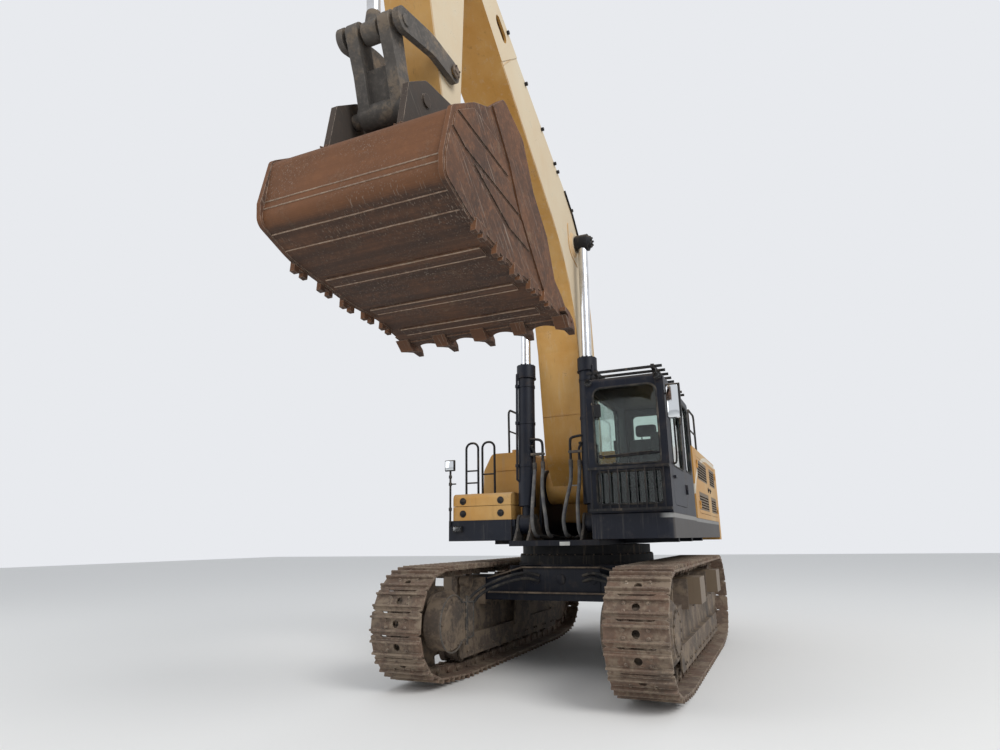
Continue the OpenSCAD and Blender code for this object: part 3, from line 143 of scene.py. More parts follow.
# %% Wires and graphs
class Wire:
    """An output socket on which arithmetic adds Math nodes."""

    def __init__(self, graph, socket):
        self.graph = graph
        self.socket = socket

    def math(self, operation, *others):
        """A Math node on this value and others."""
        return self.graph.node("ShaderNodeMath", {"operation": operation}, dict(enumerate((self, *others))))

    def __add__(self, other):
        return self.math("ADD", other)

    def __mul__(self, other):
        return self.math("MULTIPLY", other)

    def __sub__(self, other):
        return self.math("SUBTRACT", other)

    def __rsub__(self, other):
        return self.math("MULTIPLY", -1.0) + other

    __radd__ = __add__
    __rmul__ = __mul__

    def over(self, low, high):
        """0 below low, 1 above high, and smooth between them."""
        values = {"Value": self, "From Min": low, "From Max": high}
        return self.graph.node("ShaderNodeMapRange", {"interpolation_type": "SMOOTHSTEP"}, values)

    def within(self, low, high, edge=0.004):
        """1 between low and high, and 0 outside."""
        return self.over(low - edge, low + edge) * (1 - self.over(high - edge, high + edge))

    def held(self):
        """The same value, kept between 0 and 1."""
        return self.math("MAXIMUM", 0.0).math("MINIMUM", 1.0)


class Graph:
    """A node tree in the making."""

    def __init__(self, tree):
        self.tree = tree

    def feed(self, slot, value):
        """Links a wire to a socket, or sets the socket's own value."""
        if isinstance(value, Wire):
            self.tree.links.new(value.socket, slot)
        else:
            slot.default_value = value

    def node(self, kind, settings=None, values=None, output=0):
        """A node of any type, with its settings and the values or links of its sockets."""
        made = self.tree.nodes.new(kind)
        for name, value in (settings or {}).items():
            setattr(made, name, value)
        for slot, value in (values or {}).items():
            self.feed(made.inputs[slot], value)
        return Wire(self, made.outputs[output])


print("wires and graphs ready")

# %% Finishes
class Finish(Graph):
    """A material in the making, around one Principled shader."""

    def __init__(self, name, **constants):
        self.material = bpy.data.materials.new(name)
        self.material.use_nodes = True
        super().__init__(self.material.node_tree)
        self.shader = next(n for n in self.tree.nodes if n.type == "BSDF_PRINCIPLED")
        for socket, value in constants.items():
            self.shader.inputs[socket.replace("_", " ")].default_value = value
        self.place = self.node("ShaderNodeTexCoord", output="Object")

    def stretched(self, x, y, z, turn=0.0):
        """Object coordinates, scaled along each axis, after a turn about X."""
        turned = self.node("ShaderNodeMapping", values={"Vector": self.place, "Rotation": (turn, 0, 0)})
        return self.node("ShaderNodeMapping", values={"Vector": turned, "Scale": (x, y, z)})

    def noise(self, scale, detail, roughness, at=None):
        """Noise from 0 to 1 over Object coordinates, or over a stretched copy of them."""
        values = {"Vector": at or self.place, "Scale": scale, "Detail": detail, "Roughness": roughness}
        return self.node("ShaderNodeTexNoise", values=values)

    def mix(self, share, first, second):
        """A colour between two, by a share from 0 to 1."""
        # A Mix node's sockets 6 and 7 take the two colours, and its output 2 gives the mixed one
        return self.node("ShaderNodeMix", {"data_type": "RGBA"}, {0: share, 6: first, 7: second}, output=2)

    def part(self, vector, axis):
        """One number of a vector: 0 is X, 1 is Y and 2 is Z."""
        return self.node("ShaderNodeSeparateXYZ", values={"Vector": vector}, output=axis)

    def facing(self, axis):
        """How far a surface looks along an axis, from -1 to 1."""
        return self.part(self.node("ShaderNodeTexCoord", output="Normal"), axis)

    def bevelled(self, radius):
        """The normal with its edges rounded, and a mask that is 1 on those edges."""
        soft = self.node("ShaderNodeBevel", {"samples": 4}, {"Radius": radius})
        true = self.node("ShaderNodeNewGeometry", output="Normal")
        alike = self.node("ShaderNodeVectorMath", {"operation": "DOT_PRODUCT"}, {0: soft, 1: true},
                          output="Value")
        return soft, (1 - alike).over(0.01, 0.16)

    def done(self, colour, roughness, height=None, strength=0.3, distance=0.004, normal=None, metallic=None):
        """The material, with its colour, roughness, relief and metal wired to the shader."""
        self.feed(self.shader.inputs["Base Color"], colour)
        self.feed(self.shader.inputs["Roughness"], roughness)
        if metallic is not None:
            self.feed(self.shader.inputs["Metallic"], metallic)
        if height is not None:
            values = {"Height": height, "Strength": strength, "Distance": distance}
            if normal is not None:
                values["Normal"] = normal
            normal = self.node("ShaderNodeBump", values=values)
        if normal is not None:
            self.feed(self.shader.inputs["Normal"], normal)
        return self.material


def srgb(r, g, b):
    """A colour as it reads on a screen, 0 to 255, as the linear values that a shader takes."""
    def linear(v):
        v /= 255
        return v / 12.92 if v <= 0.04045 else ((v + 0.055) / 1.055) ** 2.4
    return (linear(r), linear(g), linear(b), 1.0)


def toned(colour, factor):
    """A colour made darker or lighter by a factor."""
    return tuple(v * factor for v in colour[:3]) + (1.0,)


print("finish helpers ready")

# %% [markdown]
# ## What weather does to paint, and painted light on its sides
# Paint on a working machine is never one colour. It chalks in patches, rain draws pale and dark streaks down
# its upright faces, dust settles on whatever looks up, mud climbs from the ground, and edges lose their paint
# first. Each of these is a mask from 0 to 1 that is worked out from Object coordinates, so that it stays on
# the metal when a joint moves, and the masks are laid over each other from the paint outwards. Faces that
# look sideways can also be mixed towards the dust colour, which is painted light that makes them read as lit.

# %% Weathered paint
MUD_TOP, DENTS = 0.6, 0.25


def worn_paint(name, fresh, chalked, dust, under, dusty=0.5, chips=0.5, roughness=0.5, painted_side_light=0.0,
               marks=None, gloss=0.5):
    """Enamel in two tones, with streaks, dust, mud up to a height, bare steel or rust at its edges, and
    painted light that makes faces looking sideways paler.
    """
    paint = Finish(name, Specular_IOR_Level=gloss)
    broad = paint.noise(0.9, 5.0, 0.6)
    blotch = paint.noise(5.0, 6.0, 0.65)
    fine = paint.noise(60.0, 4.0, 0.6)
    streak = paint.noise(1.0, 5.0, 0.7, at=paint.stretched(14.0, 14.0, 0.9))
    colour = paint.mix(broad.over(0.35, 0.72), fresh, chalked)
    if marks:
        colour = marks(paint, colour)
    colour = paint.mix(streak.over(0.52, 0.8) * 0.35, colour, dust)
    colour = paint.mix((1 - streak).over(0.58, 0.8) * 0.4, colour, toned(under, 0.35))
    rounded, edge = paint.bevelled(0.006)
    upward = paint.facing(2).over(0.25, 0.95)
    height = paint.part(paint.place, 2)
    settled = (upward * (blotch * 0.9 + 0.35)).held() * dusty
    low = (1 - (height + blotch * 0.5 - 0.25).over(MUD_TOP * 0.4, MUD_TOP)) * 0.85
    film = blotch.over(0.5, 0.8) * dusty * 0.45
    # painted light: faces that look along X are mixed towards the dust colour, so that they read as lit sides
    if painted_side_light:
        sideways = paint.facing(0)
        film = film + (sideways * sideways).over(0.4, 0.9) * (broad * 0.5 + 0.6) * painted_side_light
    dirt_and_lit_sides = (settled + low + film).held()
    # the dust colour here stands for dust and mud, and on faces that look sideways for painted light
    colour = paint.mix(dirt_and_lit_sides, colour, dust)
    worn = (edge * blotch.over(0.42, 0.62) + (blotch * fine).over(0.36, 0.42) * 0.7).held() * chips
    colour = paint.mix(worn, colour, under)
    rough = (dirt_and_lit_sides * 0.35 + roughness + fine * 0.12 + worn * 0.15).held()
    relief = paint.noise(2.2, 2.0, 0.4) * DENTS + fine * 0.06 + worn * -0.12 + dirt_and_lit_sides * blotch * 0.15
    return paint.done(colour, rough, relief, strength=0.35, distance=0.012, normal=rounded)


print("weathered paint ready")

# %% [markdown]
# ## Marks in the paint
# A stripe or a dark field has no thickness worth modelling, so it is a colour inside the paint, and the dark
# field at the louvres is painted shade. Its outline is a mask on Object coordinates in metres: a span along
# one axis is one `within`, two spans make a rectangle by multiplying, and an ellipse comes from the sum of
# two squares.

# %% Painted shade at the louvres, pale sweep, skirt band and dusty beam ends
HOOD_SIDE, SKIRT_SIDE = 1.5, 1.5
# rows and spans of the louvres, where painted shade darkens the hood
LOUVRE_ROWS = ((2.535, 2.845), (2.070, 2.345))
LEFT_FIELDS, RIGHT_FIELD = ((1.735, 2.945), (3.375, 4.165)), (2.615, 4.025)
SWEEP_Y, SWEEP_Z, SWEEP_LONG, SWEEP_HIGH = 3.17, 1.90, 2.0, 1.02


def hood_marks(paint, colour):
    """Painted shade in the louvre rows of the doors, and a pale elliptic sweep along the left side."""
    x, y, z = (paint.part(paint.place, axis) for axis in range(3))
    rows = z.within(*LOUVRE_ROWS[0]) + z.within(*LOUVRE_ROWS[1])
    left = x.over(HOOD_SIDE, HOOD_SIDE + 0.05)
    louvre_shade = (y.within(*LEFT_FIELDS[0]) + y.within(*LEFT_FIELDS[1])) * left
    louvre_shade = louvre_shade + y.within(*RIGHT_FIELD) * (1 - x.over(-HOOD_SIDE - 0.05, -HOOD_SIDE))
    ahead = (SWEEP_Y - y).math("MAXIMUM", 0.0) * (1 / SWEEP_LONG)
    rise = (z - SWEEP_Z) * (1 / SWEEP_HIGH)
    sweep = (ahead * ahead + rise * rise).within(1.0, 1.13, 0.003) * left
    colour = paint.mix(sweep, colour, srgb(222, 214, 196))
    # painted shade: the louvre rows inside these spans are darkened to stand for the dark behind the louvres
    return paint.mix(rows * louvre_shade * 0.94, colour, srgb(30, 28, 27))


def beam_marks(paint, colour):
    """Dust on the ends of the cross beams, where they lie between the runs of the tracks."""
    outside = paint.part(paint.place, 0)
    low = 1 - paint.part(paint.place, 2).over(1.30, 1.45)
    return paint.mix((outside * outside).over(1.2, 1.6) * low * 0.55, colour, srgb(150, 130, 106))


def skirt_marks(paint, colour):
    """A pale band along the top of the skirts' left side."""
    left = paint.part(paint.place, 0).over(SKIRT_SIDE, SKIRT_SIDE + 0.1)
    band = paint.part(paint.place, 2).within(1.880, 1.930) * left
    return paint.mix(band * 0.8, colour, srgb(150, 150, 148))


print("paint marks ready")

# %% Paints
OCHRE, DUST, CREAM_DUST_AND_LIT = srgb(190, 138, 62), srgb(166, 146, 120), srgb(200, 189, 166)
BARE_RUST = srgb(92, 58, 38)
NAVY, NAVY_PALE, RUST_BROWN = srgb(15, 18, 28), srgb(28, 32, 43), srgb(86, 64, 48)
ochre_paint = worn_paint("ochre_paint", OCHRE, srgb(206, 164, 100), DUST, BARE_RUST)
# the boom's cream is its dust colour and also the painted light on its sideways faces
boom_paint = worn_paint("boom_paint", OCHRE, srgb(206, 162, 96), CREAM_DUST_AND_LIT, BARE_RUST, dusty=0.35, painted_side_light=0.95)
hood_paint = worn_paint("hood_paint", OCHRE, srgb(204, 168, 112), DUST, BARE_RUST, dusty=0.55, painted_side_light=0.35,
                        marks=hood_marks)
navy_paint = worn_paint("navy_paint", NAVY, NAVY_PALE, srgb(104, 92, 78), RUST_BROWN, dusty=0.35,
                        roughness=0.42, gloss=0.25, marks=beam_marks)
skirt_paint = worn_paint("skirt_paint", NAVY, NAVY_PALE, srgb(118, 112, 104), RUST_BROWN, dusty=0.3,
                         chips=0.4, roughness=0.42, painted_side_light=0.4, marks=skirt_marks, gloss=0.25)
black_paint = worn_paint("black_paint", srgb(24, 24, 26), srgb(40, 40, 42), DUST, srgb(84, 64, 48),
                         dusty=0.35, chips=0.4, roughness=0.55, gloss=0.25)
print("paints:", ochre_paint.name, boom_paint.name, hood_paint.name, navy_paint.name, black_paint.name)

# %% [markdown]
# ## Steel that works in the ground
# The tracks and the bucket have no paint left. The tracks are steel under dried pale mud, bright only where
# the rollers and the ground polish them. The bucket is brown with rust and carries long scratches that run
# the way the earth slides over it, so its noise is stretched along that way. Its ears are cast and nearly
# black, and the inverse of the bucket's own frame tells the shader where they are.

# %% Bare and rusty steel
def bucket_marks(steel, colour):
    """Near-black cast ears, and a lighter, warmer brown on faces that do not look towards -Y; along and deep
    are s and t in the bucket's frame.
    """
    x, y, z = (steel.part(steel.place, axis) for axis in range(3))
    along, deep = (y * row[1] + z * row[2] + row[3] for row in BUCKET.inverted()[1:3])
    ears = (1 - (along + deep * 0.327).over(0.02, 0.05)) * (1 - (x * x).over(0.20, 0.30))
    ears = ears * (1 - deep.over(1.25, 1.35))
    colour = steel.mix((1 - steel.facing(1).over(-0.95, -0.35)) * 0.45, colour, srgb(134, 86, 50))
    return steel.mix(ears * 0.85, colour, srgb(54, 52, 48))


def ground_steel(name, rust, dark, mud, bright, muddy, polish, scratches=0.0, slant=0.0, bands_and_underside_shade=0.0,
                 marks=None):
    """Rusty steel with caked mud, polished edges and, where asked for, scratches, dark banding along X and
    painted shade on faces that look down.
    """
    steel = Finish(name)
    broad = steel.noise(1.6, 6.0, 0.65)
    grain = steel.noise(22.0, 8.0, 0.7)
    pits = steel.noise(130.0, 3.0, 0.6)
    colour = steel.mix(broad.over(0.3, 0.7), rust, dark)
    colour = steel.mix(grain.over(0.45, 0.7) * 0.5, colour, toned(rust, 1.7))
    cake = (steel.noise(4.0, 9.0, 0.7) + grain * 0.25 - 0.12).over(0.62 - muddy * 0.3, 0.72 - muddy * 0.2)
    colour = steel.mix(cake * 0.9, colour, mud)
    if bands_and_underside_shade:
        # painted shade: faces that look down are darkened, together with the dark banding along X
        below = 1 - steel.facing(2).over(-0.8, 0.1)
        band = steel.noise(1.0, 5.0, 0.65, at=steel.stretched(0.5, 9.0, 9.0)).over(0.38, 0.62)
        colour = steel.mix((band * 0.45 + below * 0.55) * bands_and_underside_shade, colour, toned(dark, 0.55))
        line = steel.noise(1.0, 2.0, 0.5, at=steel.stretched(0.8, 60.0, 60.0)).over(0.66, 0.74)
        colour = steel.mix(line * broad.over(0.4, 0.6) * 0.5, colour, mud)
    if marks:
        colour = marks(steel, colour)
    rounded, edge = steel.bevelled(0.008)
    shine = edge * grain.over(0.3, 0.6) * polish
    relief = grain * 0.35 + pits * 0.1 + cake * 0.7
    if scratches:
        scored = steel.noise(1.0, 3.0, 0.5, at=steel.stretched(90.0, 2.0, 90.0, turn=slant)).over(0.6, 0.68)
        shine = (shine + scored * broad.over(0.4, 0.6) * scratches).held()
        relief = relief - scored * 0.3
    colour = steel.mix(shine, colour, bright)
    rough = (0.9 - shine * 0.45 - pits * 0.1).held()
    return steel.done(colour, rough, relief, strength=0.6, distance=0.008, normal=rounded,
                      metallic=shine * 0.9)


print("bare steel ready")

# %% Steels
track_steel = ground_steel("track_steel", srgb(112, 88, 72), srgb(92, 80, 70), srgb(136, 120, 102),
                           srgb(178, 166, 150), muddy=0.58, polish=0.8)
frame_steel = ground_steel("frame_steel", srgb(96, 82, 70), srgb(72, 66, 60), srgb(124, 108, 90),
                           srgb(150, 142, 130), muddy=0.6, polish=0.25)
cast_steel = ground_steel("cast_steel", srgb(88, 82, 76), srgb(58, 56, 54), srgb(118, 104, 88),
                          srgb(150, 146, 138), muddy=0.4, polish=0.5)
bucket_steel = ground_steel("bucket_steel", srgb(106, 70, 46), srgb(64, 46, 36), srgb(118, 92, 70),
                            srgb(172, 156, 140), muddy=0.12, polish=0.7, scratches=0.45, slant=0.75,
                            bands_and_underside_shade=0.8, marks=bucket_marks)
worn_ridge = ground_steel("worn_ridge", srgb(150, 124, 102), srgb(108, 80, 60), srgb(150, 130, 110),
                          srgb(190, 180, 168), muddy=0.2, polish=0.9)
print("steels:", track_steel.name, frame_steel.name, cast_steel.name, bucket_steel.name, worn_ridge.name)

# %% [markdown]
# ## Chrome, rubber, glass and cloth
# A cylinder's rod is hard chrome with a thin film of oil and dust. Hoses wear a woven grey sleeve. Glass is
# made to pass light, with a faint green body colour and smears of dust, and the seat has a ribbed cloth. The
# ribs of sleeve and cloth are one wave texture that feeds only the bump.

# %% Chrome
chrome = Finish("rod_chrome")
film = chrome.noise(3.0, 5.0, 0.6)
hazed = chrome.mix(film.over(0.45, 0.75) * 0.5, srgb(214, 216, 220), srgb(150, 138, 122))
scuffs = chrome.noise(40.0, 2.0, 0.5)
rod_chrome = chrome.done(hazed, film * 0.25 + 0.1, scuffs, strength=0.03, distance=0.001,
                         metallic=0.97 - film.over(0.5, 0.8) * 0.4)
print("chrome:", rod_chrome.name)

# %% Rubber and sleeve
def rubber_like(name, dark, pale, weave, roughness=0.75):
    """Rubber, or a woven sleeve where weave is above 0, with patches of dust."""
    soft = Finish(name)
    patches = soft.noise(7.0, 6.0, 0.65)
    bumps = soft.noise(160.0, 3.0, 0.5)
    ribs = soft.node("ShaderNodeTexWave", {"wave_type": "BANDS", "bands_direction": "DIAGONAL"},
                     {"Vector": soft.place, "Scale": 70.0, "Distortion": 1.0}, output="Fac")
    colour = soft.mix(patches.over(0.4, 0.75) * 0.7, dark, pale)
    relief = bumps * 0.4 + ribs * weave
    return soft.done(colour, (patches * 0.2 + roughness).held(), relief, strength=0.2, distance=0.001)


black_rubber = rubber_like("black_rubber", srgb(28, 28, 30), srgb(104, 96, 84), 0.0)
grey_sleeve = rubber_like("grey_sleeve", srgb(92, 92, 94), srgb(150, 144, 134), 0.7, roughness=0.85)
cab_trim = rubber_like("cab_trim", srgb(30, 31, 34), srgb(44, 45, 48), 0.0)
seat_cloth = rubber_like("seat_cloth", srgb(30, 31, 36), srgb(62, 62, 68), 0.5, roughness=0.9)
print("soft finishes:", black_rubber.name, grey_sleeve.name, cab_trim.name, seat_cloth.name)

# %% Glass, mirror and blank plates
def clear_glass(name, tint):
    """Glass that passes light, with smears of dust."""
    glass = Finish(name, Transmission_Weight=1.0, IOR=1.45)
    smear = glass.noise(2.4, 6.0, 0.7)
    dusty = smear.over(0.52, 0.8)
    colour = glass.mix(dusty * 0.35, tint, srgb(178, 172, 158))
    return glass.done(colour, dusty * 0.18 + 0.02, smear, strength=0.012, distance=0.002)


cab_pane = clear_glass("cab_pane", srgb(212, 226, 220))
lamp_lens = clear_glass("lamp_lens", srgb(232, 236, 238))
mirror = Finish("mirror_face")
haze = mirror.noise(3.0, 5.0, 0.6)
silvering = mirror.mix(haze * 0.3, srgb(226, 230, 234), srgb(170, 164, 152))
mirror_face = mirror.done(silvering, haze * 0.12 + 0.02, metallic=1 - haze.over(0.6, 0.8) * 0.4)
blank_plate = worn_paint("blank_plate", srgb(206, 206, 200), srgb(190, 188, 180), DUST, srgb(120, 110, 98),
                         chips=0.2)
print("clear finishes:", cab_pane.name, lamp_lens.name, mirror_face.name)

# %% [markdown]
# ## Finishes for the CAD nodes
# Most of the CAD nodes stay visible. Their shape is right, so they only get their finish, which is assigned
# to the material slots of their objects.

# %% Dress the CAD nodes
FINISH_OF = {
    ochre_paint: "counterweight tanks toolbox toolbox_lid",
    hood_paint: "hood hood_lid side_door_front side_door_rear pump_door",
    boom_paint: "boom arm arm_brackets",
    skirt_paint: "skirts",
    navy_paint: "carbody upper_frame cab_shell cab_door boom_barrels arm_barrel bucket_barrel",
    black_paint: "cab_guard handrails lamps mirrors engine swing_ring boom_pipes",
    frame_steel: "track_frames rollers sprockets idlers travel_motors",
    cast_steel: "side_links tipping_link cylinder_feet",
    track_steel: "track_left track_right exhaust",
    bucket_steel: "bucket_shell bucket_teeth",
    rod_chrome: "boom_rods arm_rod bucket_rod",
    black_rubber: "hydraulic_hoses",
    seat_cloth: "cab_seat",
    cab_pane: "cab_glass door_glass",
}
for finish, names in FINISH_OF.items():
    for node in names.split():
        slots = nodes[node].material_slots
        if not slots:
            nodes[node].data.materials.append(finish)
        for slot in slots:
            slot.link = "OBJECT"
            slot.material = finish
dressed = sum(len(names.split()) for names in FINISH_OF.values())
print("dressed", dressed, "of", len(nodes), "CAD nodes")

# %% [markdown]
# ## A small workshop
# Every new piece below is put together in one bmesh from bars, boxes, rings and bolts, each made by a bmesh
# operator and turned straight into its place in metres. Keeping the place in the mesh, with the object at
# the origin, is what lets the finishes' Object coordinates line up with the CAD nodes.

# %% Workshop
def turned_to(along):
    """A rotation that lays local Z along a direction."""
    return Vector(along).to_track_quat("Z", "Y").to_matrix().to_4x4()


class Piece:
    """A piece in the making, as one bmesh in metres."""

    def __init__(self):
        self.bm = bmesh.new()

    def soften(self, verts, width):
        """Bevels the edges of what was just made, where a width is given."""
        if width:
            edges = list({e for v in verts for e in v.link_edges})
            bmesh.ops.bevel(self.bm, geom=edges, offset=width, offset_type="OFFSET", affect="EDGES",
                            segments=2, profile=0.5, material=-1)

    def box(self, corner, opposite, soft=0.0, turn=None):
        """A box between two corners, with softened edges, after a turn about its middle."""
        low, high = Vector(map(min, corner, opposite)), Vector(map(max, corner, opposite))
        size = Matrix.Diagonal((*(high - low), 1))
        place = Matrix.Translation((low + high) / 2) @ (turn or Matrix()) @ size
        self.soften(bmesh.ops.create_cube(self.bm, size=1, matrix=place)["verts"], soft)

    def bar(self, start, end, radius, sides=12, end_radius=None, soft=0.0):
        """A round bar or a cone between two points."""
        start, end = Vector(start), Vector(end)
        place = Matrix.Translation((start + end) / 2) @ turned_to(end - start)
        made = bmesh.ops.create_cone(self.bm, cap_ends=True, segments=sides, radius1=radius,
                                     radius2=radius if end_radius is None else end_radius,
                                     depth=(end - start).length, matrix=place)
        self.soften(made["verts"], soft)

    def band(self, middle, axis, radius, width, thick):
        """An open ring round an axis, from a small square that is spun a full turn."""
        middle, axis = Vector(middle), Vector(axis).normalized()
        out = turned_to(axis) @ Vector((1, 0, 0))
        section = Matrix((out * thick, axis * width, out.cross(axis))).transposed().to_4x4()
        place = Matrix.Translation(middle + out * (radius + thick / 2)) @ section
        made = bmesh.ops.create_grid(self.bm, x_segments=1, y_segments=1, size=0.5, matrix=place)["verts"]
        geom = made + list({e for v in made for e in v.link_edges})
        faces = list({f for v in made for f in v.link_faces})
        bmesh.ops.spin(self.bm, geom=geom, cent=middle, axis=axis, angle=2 * math.pi, steps=32,
                       use_merge=True)
        bmesh.ops.delete(self.bm, geom=[f for f in faces if f.is_valid], context="FACES_ONLY")

    def bolt(self, at, along, size=0.03):
        """A hexagonal head on a washer, standing on a face; size is the width of the head."""
        at, along = Vector(at), Vector(along).normalized()
        self.bar(at - along * 0.002, at + along * size * 0.15, size * 0.72, 12)
        self.bar(at, at + along * size * 0.75, size * 0.56, 6)

    def tube(self, points, radius, sides=10):
        """A tube swept along points by extruding a circle from one to the next."""
        points = [Vector(p) for p in points]
        last = len(points) - 1
        heading = [(points[min(i + 1, last)] - points[max(i - 1, 0)]).normalized() for i in range(last + 1)]
        start = Matrix.Translation(points[0]) @ turned_to(heading[0])
        ring = bmesh.ops.create_circle(self.bm, cap_ends=True, segments=sides, radius=radius,
                                       matrix=start)["verts"]
        for i in range(last):
            made = bmesh.ops.extrude_edge_only(self.bm, edges=self.edges_among(ring))["geom"]
            ring = [g for g in made if isinstance(g, bmesh.types.BMVert)]
            bend = heading[i].rotation_difference(heading[i + 1]).to_matrix()
            bmesh.ops.translate(self.bm, verts=ring, vec=points[i + 1] - points[i])
            bmesh.ops.rotate(self.bm, verts=ring, cent=points[i + 1], matrix=bend)
        bmesh.ops.contextual_create(self.bm, geom=self.edges_among(ring))

    def edges_among(self, ring):
        """The edges that join the vertices of a ring to each other."""
        return [e for e in {e for v in ring for e in v.link_edges} if all(v in ring for v in e.verts)]

    def stamp(self, pattern, places):
        """Copies a finished pattern mesh to each place."""
        for place in places:
            count = len(self.bm.verts)
            self.bm.from_mesh(pattern)
            self.bm.verts.ensure_lookup_table()
            bmesh.ops.transform(self.bm, matrix=place, verts=self.bm.verts[count:])

    def mesh(self, name, smooth=35.0):
        """The finished mesh, smooth-shaded up to an angle."""
        bmesh.ops.recalc_face_normals(self.bm, faces=self.bm.faces)
        mesh = bpy.data.meshes.new(name)
        self.bm.to_mesh(mesh)
        self.bm.free()
        mesh.polygons.foreach_set("use_smooth", [True] * len(mesh.polygons))
        mesh.set_sharp_from_angle(angle=math.radians(smooth))
        return mesh

    def done(self, name, body, finish, slot, *replaced, smooth=35.0):
        """The finished piece, riding on a body if one is given, and standing for the nodes it replaces."""
        mesh = self.mesh(name, smooth)
        mesh.materials.append(finish)
        made = bpy.data.objects.new(name, mesh)
        bpy.context.scene.collection.objects.link(made)
        if body:
            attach(made, body)
        if replaced:
            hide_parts(*replaced)
        print(name, "has", len(mesh.polygons), "faces")
        return made


print("workshop ready")

# %% Smooth paths and rings of places
PATH_STEPS = 6


def smooth_path(points):
    """More points on a smooth curve through the given ones, for hoses and tubes."""
    points = [Vector(p) for p in points]
    ends = [points[0] * 2 - points[1], *points, points[-1] * 2 - points[-2]]
    path = []
    for a, b, c, d in zip(ends, ends[1:], ends[2:], ends[3:]):
        for k in range(PATH_STEPS):
            u = k / PATH_STEPS
            path.append(0.5 * (2 * b + (c - a) * u + (2 * a - 5 * b + 4 * c - d) * u * u
                               + (3 * b - a - 3 * c + d) * u ** 3))
    return path + [points[-1]]


def ring_of(count, middle, axis, radius, start=0.0):
    """Places round a circle about an axis."""
    turn = turned_to(axis)
    for i in range(count):
        a = start + 2 * math.pi * i / count
        yield Vector(middle) + turn @ Vector((math.cos(a), math.sin(a), 0)) * radius


print("paths and rings ready")

# %% [markdown]
# ## The tracks
# A track is a chain of cast links, with a flat shoe bolted across every pair of links. The CAD keeps it as
# one closed loop. Here every shoe is a real one: a plate with two tall ribs, a mud hole in its middle, cut
# edges and four bolts, over two links and the pin between them. One shoe is modelled, and stamped round a
# belt that follows the same circles as the CAD's: drive wheel, lower run and idler.

# %% Belt path
SHOE_PITCH, SHOE_T, SHOE_W, GROUSER, RAIL_H, RAIL_X = 0.26, 0.022, 0.65, 0.040, 0.095, 0.095
TRACK_X, DRIVE_Y, AXLE_Z = 1.357, -2.460, 0.715
BELT = [(DRIVE_Y, AXLE_Z, 0.615), (-1.850, 0.340, 0.300), (1.700, 0.340, 0.300), (2.280, AXLE_Z, 0.615)]


def belt_stretches():
    """Arcs and straights of the belt as (kind, centre or start, angle, radius, length)."""
    count = len(BELT)
    normals = []
    for i in range(count):
        (y, z, r), (y2, z2, r2) = BELT[i], BELT[(i + 1) % count]
        normals.append(math.atan2(z2 - z, y2 - y) - math.acos((r - r2) / math.hypot(y2 - y, z2 - z)))
    stretches = []
    for i in range(count):
        y, z, r = BELT[i]
        y2, z2, r2 = BELT[(i + 1) % count]
        first = normals[i - 1]
        turn = (normals[i] - first) % (2 * math.pi)
        stretches.append(("arc", (y, z), first, r, r * turn))
        out = (math.cos(normals[i]), math.sin(normals[i]))
        start = (y + r * out[0], z + r * out[1])
        run = math.hypot(y2 + r2 * out[0] - start[0], z2 + r2 * out[1] - start[1])
        stretches.append(("run", start, normals[i], 0.0, run))
    return stretches


STRETCHES = belt_stretches()
BELT_LENGTH = sum(s[4] for s in STRETCHES)
SHOES = round(BELT_LENGTH / SHOE_PITCH)


def on_belt(along):
    """The point of the shoes' inner face at a length along the belt, as Y and Z from the swing axis."""
    along %= BELT_LENGTH
    for kind, at, angle, radius, length in STRETCHES:
        if along <= length:
            if kind == "arc":
                angle += along / radius
                return at[0] + radius * math.cos(angle), at[1] + radius * math.sin(angle)
            return at[0] - along * math.sin(angle), at[1] + along * math.cos(angle)
        along -= length
    return on_belt(0.0)


print(SHOES, "shoes on a belt of", round(BELT_LENGTH, 3), "m")

# %% Plate of one shoe
def shoe_plate(shoe):
    """The plate with cut corners and a mud hole, its outer face at 0 and its body below."""
    half = SHOE_W / 2
    outline = [(-half, 0.012), (-half + 0.03, -0.004), (-0.20, -0.004), (-0.17, 0.016), (0.17, 0.016),
               (0.20, -0.004), (half - 0.03, -0.004), (half, 0.012), (half, 0.228), (half - 0.04, 0.252),
               (-half + 0.04, 0.252), (-half, 0.228)]
    rim = [shoe.bm.verts.new((x, y, 0.0)) for x, y in outline]
    middle = Matrix.Translation((0, SHOE_PITCH / 2, 0))
    hole = bmesh.ops.create_circle(shoe.bm, segments=16, radius=0.042, matrix=middle)["verts"]
    rim_edges = [shoe.bm.edges.new((rim[i], rim[(i + 1) % len(rim)])) for i in range(len(rim))]
    hole_edges = list({e for v in hole for e in v.link_edges})
    bmesh.ops.triangle_fill(shoe.bm, use_beauty=True, edges=rim_edges + hole_edges)
    inside = [f for f in shoe.bm.faces if all(v in hole for v in f.verts)]
    bmesh.ops.delete(shoe.bm, geom=inside, context="FACES_ONLY")
    skin = bmesh.ops.extrude_face_region(shoe.bm, geom=list(shoe.bm.faces))["geom"]
    lower = [g for g in skin if isinstance(g, bmesh.types.BMVert)]
    bmesh.ops.translate(shoe.bm, verts=lower, vec=(0, 0, -SHOE_T))


print("shoe plate ready")

# %% One shoe with its ribs and links
RIB_T = 0.029


